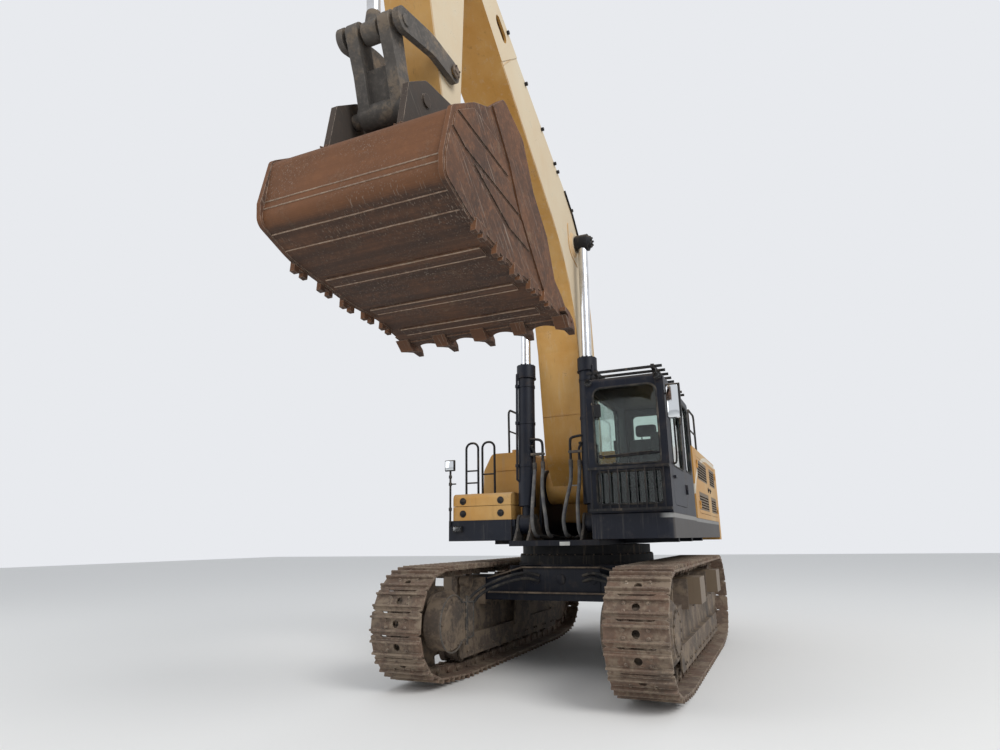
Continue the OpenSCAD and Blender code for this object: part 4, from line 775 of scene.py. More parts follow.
def shoe_pattern():
    """A shoe in its own frame: X across, Y along the chain, Z outwards, with its plate's outer face at 0."""
    shoe = Piece()
    shoe_plate(shoe)
    for y in (0.044, 0.187):
        crest = y + RIB_T / 2
        shoe.box((-SHOE_W / 2, y, -0.004), (SHOE_W / 2, y + RIB_T, GROUSER), 0.004)
        top = [v for v in shoe.bm.verts if v.co.z > GROUSER - 0.01 and abs(v.co.y - crest) < 0.03]
        bmesh.ops.scale(shoe.bm, vec=(1, 0.72, 1), verts=top, space=Matrix.Translation((0, -crest, 0)))
    low = -SHOE_T - RAIL_H
    pin_z = low + 0.042
    for x in (-1, 1):
        for y in (0.090, 0.170):
            shoe.bolt((x * (RAIL_X + 0.028), y, 0.0), (0, 0, 1), 0.026)
        rail = x * RAIL_X
        shoe.box((rail - 0.026, 0, low + 0.012), (rail + 0.026, SHOE_PITCH - 0.02, -SHOE_T + 0.001), 0.008)
        shoe.bar((x * (RAIL_X - 0.045), 0.0, pin_z), (x * (RAIL_X + 0.045), 0.0, pin_z), 0.042, 14)
    shoe.bar((-RAIL_X - 0.052, 0.0, pin_z), (RAIL_X + 0.052, 0.0, pin_z), 0.022, 12)
    shoe.bar((-RAIL_X + 0.04, 0.0, pin_z), (RAIL_X - 0.04, 0.0, pin_z), 0.034, 14)
    return shoe.mesh("one_shoe")


one_shoe = shoe_pattern()
print("a shoe has", len(one_shoe.polygons), "faces")

# %% Stamp the shoes round both tracks
def shoe_places(x):
    """One matrix a shoe, from joint to joint of the belt, each let in a little by chance."""
    for i in range(SHOES):
        start = Vector((0, *on_belt(BELT_LENGTH * i / SHOES)))
        end = Vector((0, *on_belt(BELT_LENGTH * (i + 1) / SHOES)))
        ahead = (end - start).normalized()
        outward = Vector((1, 0, 0)).cross(ahead) * -1
        lift = outward * dice.uniform(-0.003, -0.001)
        turn = Matrix((Vector((-1, 0, 0)), ahead, outward)).transposed().to_4x4()
        yield Matrix.Translation(start + lift + from_swing(x, 0, 0)) @ turn


for side, x in (("left", TRACK_X), ("right", -TRACK_X)):
    track = Piece()
    track.stamp(one_shoe, shoe_places(x))
    track.done(f"track_shoes_{side}", "undercarriage", track_steel, "dusty", f"track_{side}", smooth=30.0)
bpy.data.meshes.remove(one_shoe)

# %% [markdown]
# ## Under the machine
# Bolts tell how big a machine is. The swing ring, the hubs, the motor covers and the roller guards each have
# their own circle or row of them, all stamped into one piece a group. Front and rear plates close the frame
# between the tracks, with a worn sloping edge, and pairs of hoses lead out to the travel motors.

# %% Undercarriage bolts
MOTOR_FACE = 0.940
studs = Piece()
for at in ring_of(48, from_swing(0, 0, 1.449), (0, 0, 1), 0.960):
    studs.bolt(at, (0, 0, 1), 0.020)
for side in (-1, 1):
    for at in ring_of(14, from_swing(side * 1.647, DRIVE_Y, AXLE_Z), (1, 0, 0), 0.215):
        studs.bolt(at, (side, 0, 0), 0.030)
    for at in ring_of(9, from_swing(side * (MOTOR_FACE + 0.002), DRIVE_Y, AXLE_Z), (1, 0, 0), 0.275, 0.3):
        studs.bolt(at, (-side, 0, 0), 0.026)
    for i in range(9):
        for face in (1, -1):
            for dy in (-0.05, 0.05):
                guard = from_swing(side * (TRACK_X + face * 0.235), -1.68 + i * 3.21 / 8 + dy, 0.300)
                studs.bolt(guard, (side * face, 0, 0), 0.026)
studs.done("undercarriage_bolts", "undercarriage", frame_steel, "dusty")

# %% Rims of the travel motors' covers
RIM_R, RIM_STEPS = 0.318, 28
rims = Piece()
for side in (-1, 1):
    x = side * MOTOR_FACE
    turns = [math.radians(43 + k * 274 / RIM_STEPS) for k in range(RIM_STEPS + 1)]
    arc = [from_swing(x, DRIVE_Y + RIM_R * math.cos(a), AXLE_Z + RIM_R * math.sin(a)) for a in turns]
    upper_corner, lower_corner = from_swing(x, -1.915, 0.915), from_swing(x, -1.915, 0.515)
    rims.tube([upper_corner, *arc, lower_corner, upper_corner], 0.011, 8)
    rims.box(from_swing(side * 0.925, -2.135, 0.43), from_swing(side * 0.948, -2.085, 1.00), 0.004)
rims.done("motor_cover_rims", "undercarriage", cast_steel, "dusty")

# %% Flanges and webs between the tracks
FRAME_FACES = ((-1, -1.2), (1, 1.12))
plates, webs = Piece(), Piece()
for face, y in FRAME_FACES:
    for side in (-1, 1):
        middle = from_swing(side * 0.79, y + face * 0.014, 1.235)
        plates.box(middle - Vector((0.285, 0.014, 0.010)), middle + Vector((0.285, 0.05, 0.010)), 0.004,
                   Matrix.Rotation(side * math.atan2(0.15, 0.54), 4, "Y"))
    plates.box(from_swing(-0.55, y, 1.292), from_swing(0.55, y + face * 0.05, 1.312), 0.004)
    plates.box(from_swing(-1.05, y, 0.968), from_swing(1.05, y + face * 0.045, 0.990), 0.004)
    webs.box(from_swing(-0.53, y, 0.985), from_swing(0.53, y + face * 0.016, 1.300), 0.003)
    for x in (-0.36, 0.0, 0.43):
        inner, outer = (from_swing(x, y + face * out, 1.15) for out in (0.012, 0.030))
        webs.bar(inner, outer, 0.062, 20, soft=0.004)
plates.done("carbody_flanges", "undercarriage", frame_steel, "dusty")
webs.done("carbody_webs", "undercarriage", navy_paint, "navy")

# %% Hoses to the travel motors
lines = Piece()
for side in (-1, 1):
    for drop, inward in ((0.0, 0.0), (0.07, 0.05)):
        route = [(0.30, -1.22, 1.20), (0.47, -1.30, 1.235), (0.72, -1.42, 1.18), (0.93, -1.66, 1.07),
                 (1.02 - inward, -1.90, 0.94), (1.02 - inward, -2.02, 0.88)]
        lines.tube(smooth_path([from_swing(side * x, y, z - drop) for x, y, z in route]), 0.019)
lines.done("travel_hoses", "undercarriage", black_rubber, "rubber")

# %% [markdown]
# ## Cylinders
# A hydraulic cylinder shows its gland with a ring of bolts where the rod comes out, a steel tube along the
# barrel and clamps round both. The clamps are open bands, because the rod slides through the barrel inside
# them. Each barrel is a link with its own frame, so one function trims all four.

# %% Glands, tubes and clamps
def cylinder_trim(barrel, x, length, radius, tube_side, tube_turn):
    """Gland bolts, clamps and the tube of one barrel; tube_side and tube_turn give where the tube lies."""
    trim = Piece()
    end = barrel @ Vector((x, length, 0))
    along = (barrel.to_3x3() @ Vector((0, 1, 0))).normalized()
    for at in ring_of(10, end, along, radius - 0.012):
        trim.bolt(at, along, 0.024)
    trim.band(end - along * 0.19, along, radius, 0.016, 0.026)
    lay = Vector((math.cos(tube_turn) * tube_side, 0, math.sin(tube_turn)))
    off = radius + 0.030

    def beside(s, out):
        """A place at a length along the barrel, and so far out from its axis on the tube's side."""
        return barrel @ Vector((x + lay.x * out, s, lay.z * out))

    trim.tube([beside(length - 0.12, radius - 0.01), beside(length - 0.14, off), beside(length - 0.22, off),
               beside(0.75, off), beside(0.60, off), beside(0.56, radius - 0.03)], 0.017)
    for share in (0.35, 0.62, 0.86):
        trim.band(barrel @ Vector((x, length * share, 0)), along, radius - 0.002, 0.036, 0.010)
        clamp = beside(length * share, off)
        trim.bar(clamp - along * 0.022, clamp + along * 0.022, 0.027, 12, soft=0.003)
    return trim


FORWARD, OUTWARD = -math.pi / 4, math.pi / 2
for side, name in ((-1, "right"), (1, "left")):
    trim = cylinder_trim(BOOM_BARREL, side * 0.465, 2.27, 0.120, side, FORWARD)
    trim.done(f"boom_cylinder_trim_{name}", "boom_barrels", navy_paint, "navy")
for name, barrel, length, radius in (("arm", ARM_BARREL, 2.75, 0.135),
                                     ("bucket", BUCKET_BARREL, 1.75, 0.115)):
    trim = cylinder_trim(barrel, 0.0, length, radius, 1, OUTWARD)
    trim.done(f"{name}_cylinder_trim", f"{name}_barrel", navy_paint, "navy")

# %% [markdown]
# ## Curved hoses
# The tubes of the boom's cylinders bend over towards the middle of the machine, where hoses in woven sleeves
# go on down to the deck. A hose joins two bodies, the barrels and the deck, and has to bend as the cylinders
# lean forward; here it is one fixed mesh in metres that rides on neither body. Its route is a few listed
# points, with a smooth curve through them, and the length of that curve is the hose's own.

# %% Tubes that bend over to the middle
# Of each hose: x and z of its upper end, the height at which its tube leaves the barrel, and x at the deck
HOSES = [(-0.325, 2.72, 2.93, -0.312), (-0.203, 2.73, 3.03, -0.120),
         (0.203, 2.73, 3.03, 0.120), (0.325, 2.72, 2.93, 0.312)]
HOSE_Y = -1.21 + SWING_Y
tubes, clamps = Piece(), Piece()
for x, z, rise, foot_x in HOSES:
    side = math.copysign(1, x)
    barrel = BOOM_BARREL @ Vector((0, rise - BARREL_FOOT[1], 0))
    tubes.tube(smooth_path([(side * 0.400, barrel.y - 0.06, rise), (side * 0.345, barrel.y - 0.09, rise),
                            (x + side * 0.030, HOSE_Y - 0.01, rise - 0.02), (x, HOSE_Y, rise - 0.08),
                            (x, HOSE_Y, z + 0.04), (x, HOSE_Y, z - 0.05)]), 0.019)
tubes.done("boom_feed_tubes", "boom_barrels", black_paint, "black")
for side in (-1, 1):
    clamps.box((side * 0.175, HOSE_Y - 0.026, 2.80), (side * 0.375, HOSE_Y + 0.026, 2.835), 0.006)
clamps.done("boom_feed_clamps", "boom_barrels", cast_steel, "cast")

# %% Sleeved hoses from the deck up to the tubes
for i, (x, z, rise, foot_x) in enumerate(HOSES):
    route = [(foot_x, -1.176, 1.700), (foot_x * 1.01, -1.262, 1.716), (foot_x * 1.02, -1.345, 1.795),
             (foot_x * 1.03, -1.375, 1.930), ((foot_x + x) / 2, -1.345, 2.150), (x, -1.262, 2.400),
             (x, -1.212, z - 0.12)]
    path = smooth_path([from_swing(*point) for point in route])
    hose = Piece()
    hose.tube(path, 0.025, 14)
    made = hose.done(f"boom_feed_hose_{i + 1}", None, grey_sleeve, "rubber")
    fitting = Piece()
    fitting.bar((x, HOSE_Y, z - 0.10), (x, HOSE_Y, z - 0.02), 0.031, 12, soft=0.004)
    fitting.bar((x, HOSE_Y, z - 0.14), (x, HOSE_Y, z - 0.09), 0.029, 6)
    fitting = fitting.done(f"boom_feed_fitting_{i + 1}", "boom_barrels", cast_steel, "cast")
    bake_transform(made)
    length = sum((b - a).length for a, b in zip(path, path[1:]))
    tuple(path[0])
    print("hose", i + 1, "is", round(length, 3), "m long")

# %% [markdown]
# ## Boom, arm and bucket
# A welded boom has a bead along every seam. Here a bead is a thin uneven rope of metal, laid as a tube along
# the seam, slightly sunk into the plates. The seams follow the rounded outline of the side plates, which is
# worked out again from the few corners and radii that the CAD uses. Pins are held by round plates with bolts.

# %% Outline of a side plate
CORNER_STEP = math.radians(12)


def rounded_rows(rows):
    """An outline from rows of (x, y, radius), each corner rounded to its radius."""
    outline = []
    for i, (x, y, radius) in enumerate(rows):
        before, here, after = Vector(rows[i - 1][:2]), Vector((x, y)), Vector(rows[(i + 1) % len(rows)][:2])
        u, v = (before - here).normalized(), (after - here).normalized()
        half = u.angle(v) / 2
        if radius <= 0 or half > math.pi / 2 - 0.01:
            outline.append(here)
            continue
        reach = min(radius / math.tan(half), (before - here).length * 0.499, (after - here).length * 0.499)
        middle = here + (u + v).normalized() * reach / math.cos(half)
        first, last = here + u * reach - middle, here + v * reach - middle
        radius_here = first.length
        count = max(2, math.ceil((math.pi - 2 * half) / CORNER_STEP))
        for k in range(count + 1):
            outline.append(middle + first.slerp(last, k / count) * radius_here)
    return outline


BOOM_ROWS = [(-0.15, -0.2, 0.2), (0.6, -0.2, 0.3), (2.86, 1.09, 2.4), (6.5, -0.03, 0.9), (7.14, -0.2, 0),
             (7.3, 0.15, 0), (3.05, 2.25, 2.1), (0.35, 0.64, 0.5), (-0.15, 0.2, 0.2)]
boom_outline = rounded_rows(BOOM_ROWS)


def on_underside(p):
    """Whether a point of the boom's outline belongs to the seam along its underside."""
    below_bend = p.x <= 3 or p.y <= 1.2 - (p.x - 3) * 0.28
    return below_bend and 0.35 < p.x < 6.6 and p.y < 0.3 + 0.45 * p.x


under = [p for p in boom_outline if on_underside(p)]
over = [p for p in boom_outline if p not in under and p.x > 0.3 and p.y > 0.3]
print("boom seams:", len(under), "and", len(over), "points")

# %% Weld beads and pin covers
def bead(piece, points, radius=0.007):
    """A weld bead along points, which wanders a little from step to step."""
    points = [Vector(p) for p in points]
    dense = []
    for a, b in zip(points, points[1:]):
        count = max(1, int((b - a).length / 0.12))
        dense += [a.lerp(b, k / count) for k in range(count)]
    dense.append(points[-1])
    piece.tube([p + Vector((dice.uniform(-1, 1), dice.uniform(-1, 1), dice.uniform(-1, 1))) * radius * 0.15
                for p in dense], radius, 6)


COVER_T = 0.018


def pin_cover(piece, at, side, radius):
    """A round cover on the end of a crosswise pin, with a boss and four bolts; side is -1 or 1."""
    outward = Vector((side, 0, 0))
    piece.bar(at, at + outward * COVER_T, radius, 28, soft=0.004)
    piece.bar(at + outward * COVER_T * 0.8, at + outward * COVER_T * 1.5, radius * 0.45, 20, soft=0.003)
    for spot in ring_of(4, at + outward * COVER_T, outward, radius * 0.72, 0.5):
        piece.bolt(spot, outward, radius * 0.26)


print("beads and covers ready")

# %% Boom's welds
BOOM_SIDE = 0.3105
welds = Piece()
for side in (-1, 1):
    for seam, lift in ((under, 0.020), (over, -0.020)):
        bead(welds, [BOOM @ Vector((side * BOOM_SIDE, p.x, p.y + lift)) for p in seam])
    bead(welds, [BOOM @ Vector((side * BOOM_SIDE, s, t)) for s, t in ((5.82, 0.20), (5.93, 0.80))])
for s, t in ((2.35, 0.79), (1.15, 0.11)):
    bead(welds, [BOOM @ Vector((-0.305, s, t)), BOOM @ Vector((0.305, s, t))], 0.006)
welds.done("boom_welds", "boom", boom_paint, "ochre")

# %% Boom's blank plate and edge line
LINE_X = 0.326
plate = Piece()
plate.box((-0.05, 0.11, -0.2045), (0.10, 0.165, -0.198), 0.001)
bmesh.ops.transform(plate.bm, matrix=BOOM, verts=plate.bm.verts)
plate.done("boom_blank_plate", "boom", blank_plate, "dusty")

line = Piece()
edge_line = sorted((p for p in over if 3.1 < p.x < 6.4), key=lambda p: p.x)
line.tube([BOOM @ Vector((LINE_X, p.x, p.y - 0.030)) for p in edge_line], 0.013, 8)
for s in (3.75, 4.377, 4.503, 5.0, 5.596, 6.2):
    at = BOOM @ Vector((LINE_X, s, 2.25 - (s - 3.05) * 2.10 / 4.25 - 0.04))
    line.bar(at - Vector((0.016, 0, 0)), at + Vector((0.022, 0, 0)), 0.026, 10, soft=0.003)
line.done("boom_edge_line", "boom", black_paint, "black")

# %% Boom's pin covers and the cylinders' eyes
covers, eye_covers = Piece(), Piece()
eye_at = math.dist(BARREL_FOOT, BOOM_EYE)
for side in (-1, 1):
    pin_cover(covers, BOOM @ Vector((side * 0.336, BOOM_LENGTH, 0)), side, 0.10)
    pin_cover(covers, BOOM @ Vector((side * 0.511, 0, 0)), side, 0.11)
    near, far, cap_end = (BOOM_BARREL @ Vector((side * x, eye_at, 0)) for x in (0.372, 0.5565, 0.602))
    eye_covers.bar(near, far, 0.1275, 36, soft=0.004)
    eye_covers.bar(far, cap_end, 0.104, 32, end_radius=0.086)
    for spot in ring_of(5, cap_end, (side, 0, 0), 0.054, 0.4):
        eye_covers.bolt(spot, (side, 0, 0), 0.030)
covers.done("boom_pin_covers", "boom", black_paint, "black")
eye_covers.done("boom_eye_covers", "boom_rods", black_paint, "black")

# %% Arm's welds
ARM_SIDE = 0.2505
ARM_ROWS = [(-1.01, 0.23, 0.08), (-0.2, -0.23, 0.2), (0.15, -0.25, 0.3), (2.81, -0.16, 0.1),
            (3.06, -0.06, 0.06), (3.06, 0.08, 0.06), (2.56, 0.215, 0.4), (0.5, 0.83, 0.5),
            (-0.15, 0.9, 0.3), (-1.05, 0.33, 0.06)]
arm_outline = rounded_rows(ARM_ROWS)
arm_front = [p for p in arm_outline if p.y < 0 and 0.1 < p.x < 2.7]
arm_back = sorted((p for p in arm_outline if p.y > 0.2 and -0.2 < p.x < 2.6), key=lambda p: -p.x)
arm_welds = Piece()
for side in (-1, 1):
    bead(arm_welds, [ARM @ Vector((side * ARM_SIDE, p.x, p.y + 0.018)) for p in arm_front])
    bead(arm_welds, [ARM @ Vector((side * ARM_SIDE, p.x, p.y - 0.018)) for p in arm_back])
    for x in (side * 0.108, side * 0.152):
        bead(arm_welds, [ARM @ Vector((x, -0.1, 0.905)), ARM @ Vector((x, 0.05, 0.905))], 0.006)
arm_welds.done("arm_welds", "arm", boom_paint, "ochre")
print("arm seams:", len(arm_front), "and", len(arm_back), "points")

# %% Rod eyes and the arm's pin covers
for name, barrel, reach, radius, half in (
        ("arm_rod", ARM_BARREL, math.dist(ARM_FOOT, ARM_EYE), 0.1275, 0.0925),
        ("bucket_rod", BUCKET_BARREL, math.dist(BUCKET_FOOT, ROD_PIN), 0.0975, 0.0775)):
    sleeve = Piece()
    sleeve.bar(barrel @ Vector((-half, reach, 0)), barrel @ Vector((half, reach, 0)), radius, 36, soft=0.004)
    sleeve.bar(barrel @ Vector((0, reach - radius - 0.09, 0)), barrel @ Vector((0, reach - radius + 0.04, 0)),
               radius * 0.66, 28, end_radius=radius * 0.82)
    sleeve.done(f"{name}_eye", name, cast_steel, "cast")
caps = Piece()
for side in (-1, 1):
    pin_cover(caps, ARM @ Vector((side * 0.402, ARM_LENGTH, 0)), side, 0.085)
    pin_cover(caps, ARM @ Vector((side * 0.336, 2.213, 0.107)), side, 0.07)
caps.done("arm_pin_covers", "arm", frame_steel, "dusty")

# %% [markdown]
# ## Welds and ridges of the bucket
# The bucket's floor carries wear strips, and its heel is worn into ridges. What shows of both from below is
# pale polished steel, so each edge of a strip and each ridge gets a bead of bright worn steel. The beads are
# placed in the bucket's frame, and those of the heel from its corner along its two faces.

# %% Bucket's welds, ridges and tooth pins
EAR_SEAM = ((-0.345, 1.20), (-0.27, 1.0), (-0.19, 0.76))
bucket_welds = Piece()
for side in (-1, 1):
    for x in (side * 0.331, side * 0.391):
        bead(bucket_welds, [BUCKET @ Vector((x, s, t)) for s, t in EAR_SEAM], 0.009)
bucket_welds.done("bucket_welds", "bucket", bucket_steel, "rust")

FLOOR_STRIPS = [(1.700, 0.424, 141), (1.280, 0.811, 133), (0.770, 1.290, 139.2)]
STRIP_HALF, STRIP_FACE = 0.066, -0.016
HEEL_CORNER = Vector((0, 0.043, 1.765))
HEEL_BACK, HEEL_FLOOR = Vector((0, -0.630, -0.777)), Vector((0, 0.900, -0.436))
ridges = Piece()
for s, t, angle in FLOOR_STRIPS:
    c, n = math.cos(math.radians(angle)), math.sin(math.radians(angle))
    for u in (-STRIP_HALF, STRIP_HALF):
        edge = (s + u * c - STRIP_FACE * n, t + u * n + STRIP_FACE * c)
        bead(ridges, [BUCKET @ Vector((x, *edge)) for x in (-0.775, 0.775)], 0.008)
for along_face in (HEEL_BACK * 0.13, HEEL_BACK * 0.20, HEEL_FLOOR * 0.14, HEEL_FLOOR * 0.33):
    bead(ridges, [BUCKET @ (HEEL_CORNER + along_face + Vector((x, 0, 0))) for x in (-0.845, 0.845)], 0.007)
ridges.done("bucket_ridges", "bucket", worn_ridge, "rust")

TOOTH_S, TOOTH_T, TOOTH_GAP = 1.985, 0.165, 0.465
keepers = Piece()
for i in range(-2, 3):
    for side in (-1, 1):
        start, end = (BUCKET @ Vector((i * TOOTH_GAP + side * x, TOOTH_S, TOOTH_T)) for x in (0.070, 0.086))
        keepers.bar(start, end, 0.024, 14, soft=0.003)
keepers.done("tooth_pins", "bucket", bucket_steel, "rust")

# %% [markdown]
# ## The cab
# Glass sits in black rubber seals. A seal is a thin tube that runs round the rounded outline of its window.
# Inside there is a seat with a headrest and two consoles with levers, which show through the windscreen.
# Wiper, handles, lamps and mirrors are small, but they are what the eye looks for on a cab.

# %% Window seals
CAB_IN, CAB_OUT, CAB_FRONT, CAB_REAR, CAB_TOP = 0.726, 1.670, -2.180, -0.230, 3.560


def seal(piece, a0, b0, a1, b1, low, high, place):
    """A rubber seal round a window with its lower and upper corner radius; place turns (a, b) into metres."""
    outline = rounded_rows([(a0, b0, low), (a1, b0, low), (a1, b1, high), (a0, b1, high)])
    piece.tube([place(p) for p in (*outline, outline[0])], 0.013, 8)


def across(y):
    """Turns (x, z) into a place on a crosswise face of the cab."""
    return lambda p: from_swing(p.x, y, p.y)


def lengthwise(x):
    """Turns (y, z) into a place on a side face of the cab."""
    return lambda p: from_swing(x, p.x, p.y)


seals, door_seal = Piece(), Piece()
seal(seals, CAB_IN + 0.09, 2.50, CAB_OUT - 0.09, CAB_TOP - 0.13, 0.05, 0.10, across(CAB_FRONT + 0.004))
seal(seals, CAB_IN + 0.09, 2.04, CAB_OUT - 0.09, 2.42, 0.05, 0.05, across(CAB_FRONT + 0.004))
seal(seals, -2.03, 2.45, -0.73, 3.41, 0.08, 0.12, lengthwise(CAB_IN + 0.004))
seal(seals, 0.876, 2.65, 1.52, 3.41, 0.07, 0.07, across(CAB_REAR - 0.004))
seal(seals, -0.89, 2.50, -0.35, 3.41, 0.08, 0.08, lengthwise(CAB_OUT - 0.004))
seals.done("window_seals", "upper", black_rubber, "rubber")
seal(door_seal, -1.90, 2.48, -1.10, 3.34, 0.07, 0.08, lengthwise(CAB_OUT - 0.004))
door_seal.done("door_seal", "cab_door", black_rubber, "rubber")

# %% Inside the cab
seat, inside = Piece(), Piece()
seat.box(from_swing(1.05, -1.40, 1.997), from_swing(1.35, -1.05, 2.26), 0.02)
seat.box(from_swing(0.965, -1.49, 2.29), from_swing(1.435, -0.97, 2.435), 0.055)
seat.box(from_swing(0.975, -1.015, 2.40), from_swing(1.425, -0.905, 2.95), 0.05)
seat.box(from_swing(1.06, -1.000, 2.985), from_swing(1.34, -0.910, 3.145), 0.04)
for x in (1.14, 1.26):
    seat.bar(from_swing(x, -0.955, 2.90), from_swing(x, -0.955, 3.02), 0.008)
seat.done("driver_seat", "upper", seat_cloth, "fabric", "cab_seat")
for x in (0.90, 1.50):
    inside.box(from_swing(x - 0.055, -1.52, 2.0), from_swing(x + 0.055, -1.02, 2.60), 0.02)
    inside.bar(from_swing(x, -1.47, 2.58), from_swing(x, -1.50, 2.78), 0.012)
    inside.bar(from_swing(x, -1.49, 2.76), from_swing(x, -1.51, 2.88), 0.026, end_radius=0.02, soft=0.006)
for x in (1.10, 1.30):
    inside.bar(from_swing(x, -1.93, 2.0), from_swing(x, -1.97, 2.42), 0.011)
    inside.box(from_swing(x - 0.05, -2.05, 2.03), from_swing(x + 0.05, -1.88, 2.05), 0.006)
inside.box(from_swing(1.46, -2.08, 2.62), from_swing(1.58, -2.05, 2.86), 0.01)
inside.done("cab_interior", "upper", cab_trim, "rubber")

# %% Wiper, small mirror and door grip
fixings, grip = Piece(), Piece()
fixings.bar(from_swing(0.90, CAB_FRONT - 0.018, 2.60), from_swing(1.50, CAB_FRONT - 0.018, 2.628), 0.007, 8)
fixings.box(from_swing(0.93, CAB_FRONT - 0.012, 2.590), from_swing(1.58, CAB_FRONT - 0.002, 2.612), 0.002,
            Matrix.Rotation(-0.045, 4, "Y"))
hub_front, hub_back = (from_swing(0.885, CAB_FRONT + out, 2.598) for out in (-0.030, 0.01))
fixings.bar(hub_front, hub_back, 0.024, 14, soft=0.003)
fixings.tube(smooth_path([from_swing(0.800, CAB_FRONT, 3.25), from_swing(0.815, CAB_FRONT - 0.05, 3.22),
                          from_swing(0.85, CAB_FRONT - 0.06, 3.20)]), 0.008)
fixings.box(from_swing(0.845, CAB_FRONT - 0.085, 3.06), from_swing(0.925, CAB_FRONT - 0.045, 3.22), 0.014)
fixings.done("wiper_and_mirror", "upper", black_paint, "black")
GRIP_Y, GRIP_BOWS = -1.93, ((0.0, 2.50), (0.045, 2.53), (0.05, 2.80), (0.045, 3.07), (0.0, 3.10))
grip.tube(smooth_path([from_swing(CAB_OUT + out, GRIP_Y, z) for out, z in GRIP_BOWS]), 0.011)
grip.box(from_swing(CAB_OUT, -1.16, 3.08), from_swing(CAB_OUT + 0.022, -1.08, 3.24), 0.006)
grip.done("door_grip", "cab_door", black_paint, "black")

# %% Mirrors, lamp glasses and the toolbox post
POST_X, POST_Y = -1.590, -1.326
shells, lenses, rims, heads, post, label = (Piece() for _ in range(6))
shells.box(from_swing(1.690, -2.206, 2.985), from_swing(1.840, -2.128, 3.385), 0.034)
shells.done("mirror_shell", "upper", mirror_face, "black")
for x in (CAB_IN + 0.055, CAB_OUT - 0.055):
    at = from_swing(x, CAB_FRONT - 0.064, 3.495)
    lenses.bar(at, at + Vector((0, -0.006, 0)), 0.040, 24, soft=0.002)
    rims.bar(at + Vector((0, 0.004, 0)), at + Vector((0, -0.003, 0)), 0.047, 24)
lenses.box(from_swing(-1.525, -1.356, 1.792), from_swing(-1.415, -1.348, 1.848), 0.006)
lenses.done("lamp_lenses", "upper", lamp_lens, "glass")
heads.box(from_swing(-1.655, -1.361, 2.655), from_swing(-1.525, -1.352, 2.785), 0.003)
heads.done("post_mirror", "upper", mirror_face, "glass")
post.bar(from_swing(POST_X, POST_Y, 2.455), from_swing(POST_X + 0.09, POST_Y, 2.455), 0.010)
for z in (2.10, 2.455, 2.56):
    foot, head = (from_swing(POST_X, POST_Y, z + rise) for rise in (-0.022, 0.022))
    post.bar(foot, head, 0.024, 12, soft=0.004)
post.done("post_clamps", "upper", black_paint, "black")
label.box(from_swing(0.09, -1.4845, 1.582), from_swing(0.23, -1.478, 1.630), 0.001)
label.done("deck_blank_plate", "upper", blank_plate, "dusty")
rims.done("lamp_rims", "upper", black_paint, "black")

# %% [markdown]
# ## Latches and rails
# The toolbox's lid and the three side doors are held by round latches with a paddle across them. A latch has
# to ride on its own door, or it would hang in the air when the door opens. The rails beside the toolbox and
# on top have cross bars.

# %% Latches
def latch(piece, at, outward, size=0.05):
    """A round recessed paddle latch on a face that looks along outward."""
    outward = Vector(outward)
    piece.bar(at - outward * 0.004, at + outward * 0.008, size, 24, soft=0.003)
    paddle = Vector((0, 0, 1)).cross(outward) * size * 0.75 + Vector((0, 0, size * 0.32)) + outward * 0.008
    middle = at + outward * 0.012
    piece.box(middle - paddle, middle + paddle, 0.006)


TOOLBOX_FRONT, HOOD_FACE, DOOR_LATCH_Z = -1.29, 1.62, 2.44
lid_latches, box_latches = Piece(), Piece()
for x in (-1.404, -0.819):
    latch(lid_latches, from_swing(x, TOOLBOX_FRONT, 2.205), (0, -1, 0))
    latch(box_latches, from_swing(x, TOOLBOX_FRONT, 2.030), (0, -1, 0))
lid_latches.done("toolbox_lid_latches", "toolbox_lid", black_paint, "black")
box_latches.done("toolbox_latches", "upper", black_paint, "black")
for door, side, y in (("side_door_front", 1, 2.05), ("side_door_rear", 1, 2.33), ("pump_door", -1, 1.58)):
    handle = Piece()
    latch(handle, from_swing(side * HOOD_FACE, y, DOOR_LATCH_Z), (side, 0, 0), 0.045)
    handle.done(f"{door}_latch", door, black_paint, "black")

# %% Cross bars of the rails
HOOP_Y = -0.87
bars = Piece()
for x, z in ((-1.56, 2.68), (-1.56, 2.50), (-1.29, 2.62)):
    bars.bar(from_swing(x, HOOP_Y, z), from_swing(x + 0.20, HOOP_Y, z), 0.012)
bars.bar(from_swing(1.5, 1.20, 3.38), from_swing(1.5, 1.90, 3.38), 0.013)
bars.bar(from_swing(-1.13, -0.20, 3.36), from_swing(-1.13, 0.24, 3.36), 0.013)
bars.done("rail_cross_bars", "upper", black_paint, "black")

# %% [markdown]
# ## Floor and light
# The floor is pale and plain, so that nothing but the machine's shadow lies on it. One large soft lamp
# stands for the sky over the camera's right shoulder, a weaker one fills the other side, and the world is a
# bright even grey. What the camera, the glass and the metal see behind the machine is a paler grey, which the
# Light Path node gives to those rays only, so it lights no matt surface.

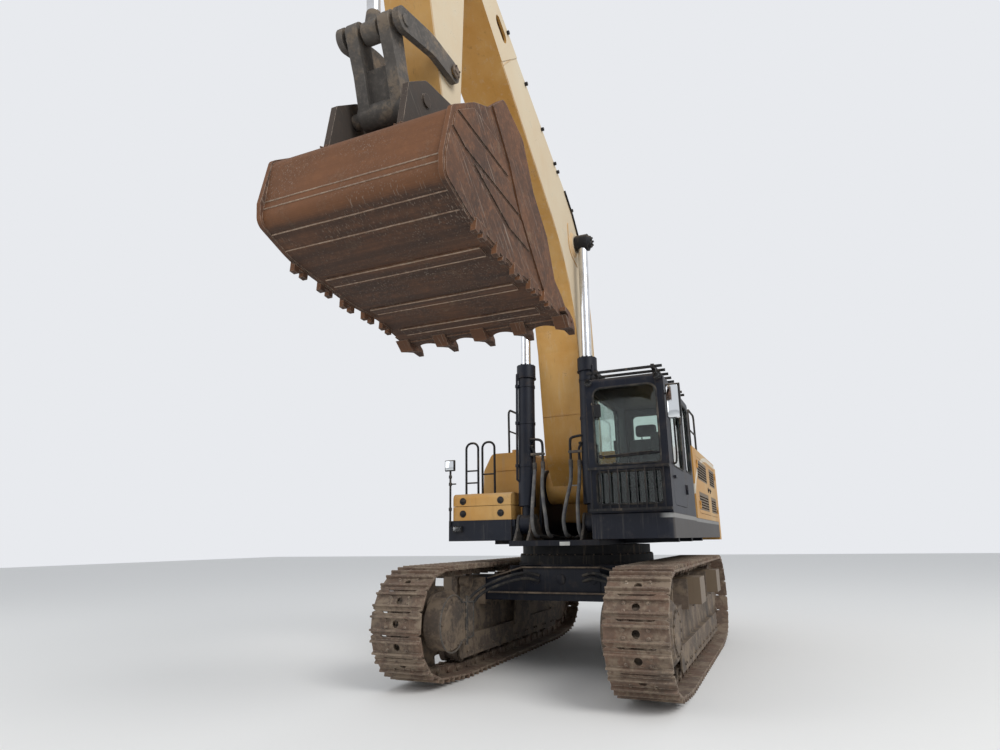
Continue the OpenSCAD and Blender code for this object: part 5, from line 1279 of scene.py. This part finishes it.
# %% Floor
ground = Finish("floor_finish", Specular_IOR_Level=0.2)
grain = ground.noise(3.0, 3.0, 0.5)
floor_finish = ground.done(ground.mix(grain * 0.1, srgb(238, 237, 234), srgb(230, 229, 226)), 0.9)
flat = bmesh.new()
bmesh.ops.create_grid(flat, x_segments=1, y_segments=1, size=60)
floor_mesh = bpy.data.meshes.new("floor")
flat.to_mesh(floor_mesh)
flat.free()
floor_mesh.materials.append(floor_finish)
floor = bpy.data.objects.new("floor", floor_mesh)
bpy.context.scene.collection.objects.link(floor)
print("floor laid, with", floor_finish.name)

# %% World
bpy.context.scene.view_settings.view_transform = "Standard"
world = bpy.data.worlds.new("studio")
bpy.context.scene.world = world
world.use_nodes = True
sky = Graph(world.node_tree)
light = next(n for n in sky.tree.nodes if n.type == "BACKGROUND")
light.inputs["Color"].default_value = srgb(226, 230, 236)
light.inputs["Strength"].default_value = 0.78
shown = sky.node("ShaderNodeBackground", values={"Color": srgb(232, 234, 238), "Strength": 1.0})
camera_ray, through, mirrored = (
    sky.node("ShaderNodeLightPath", output=f"Is {kind} Ray") for kind in ("Camera", "Transmission", "Glossy"))
looks = camera_ray.math("MAXIMUM", through).math("MAXIMUM", mirrored)
chosen = sky.node("ShaderNodeMixShader", values={"Fac": looks, 1: Wire(sky, light.outputs[0]), 2: shown})
sky.feed(next(n for n in sky.tree.nodes if n.type == "OUTPUT_WORLD").inputs["Surface"], chosen)
print("world:", world.name)

# %% Lamps
def soft_lamp(name, at, towards, size, power):
    """A square area lamp that looks at a point."""
    lamp = bpy.data.lights.new(name, "AREA")
    lamp.energy, lamp.size = power, size
    made = bpy.data.objects.new(name, lamp)
    made.location = at
    made.rotation_euler = (Vector(towards) - Vector(at)).to_track_quat("-Z", "Y").to_euler()
    bpy.context.scene.collection.objects.link(made)
    print(name, "lamp of", power, "W")


soft_lamp("key", (16, -10, 17), (0, 0, 3.5), 11.0, 2850)
soft_lamp("fill", (-15, -12, 8), (0, 0, 3), 12.0, 600)

# %% [markdown]
# ## A last update
# The view layer is updated once more, so that every object's matrix is current.

# %% Update
bpy.context.view_layer.update()
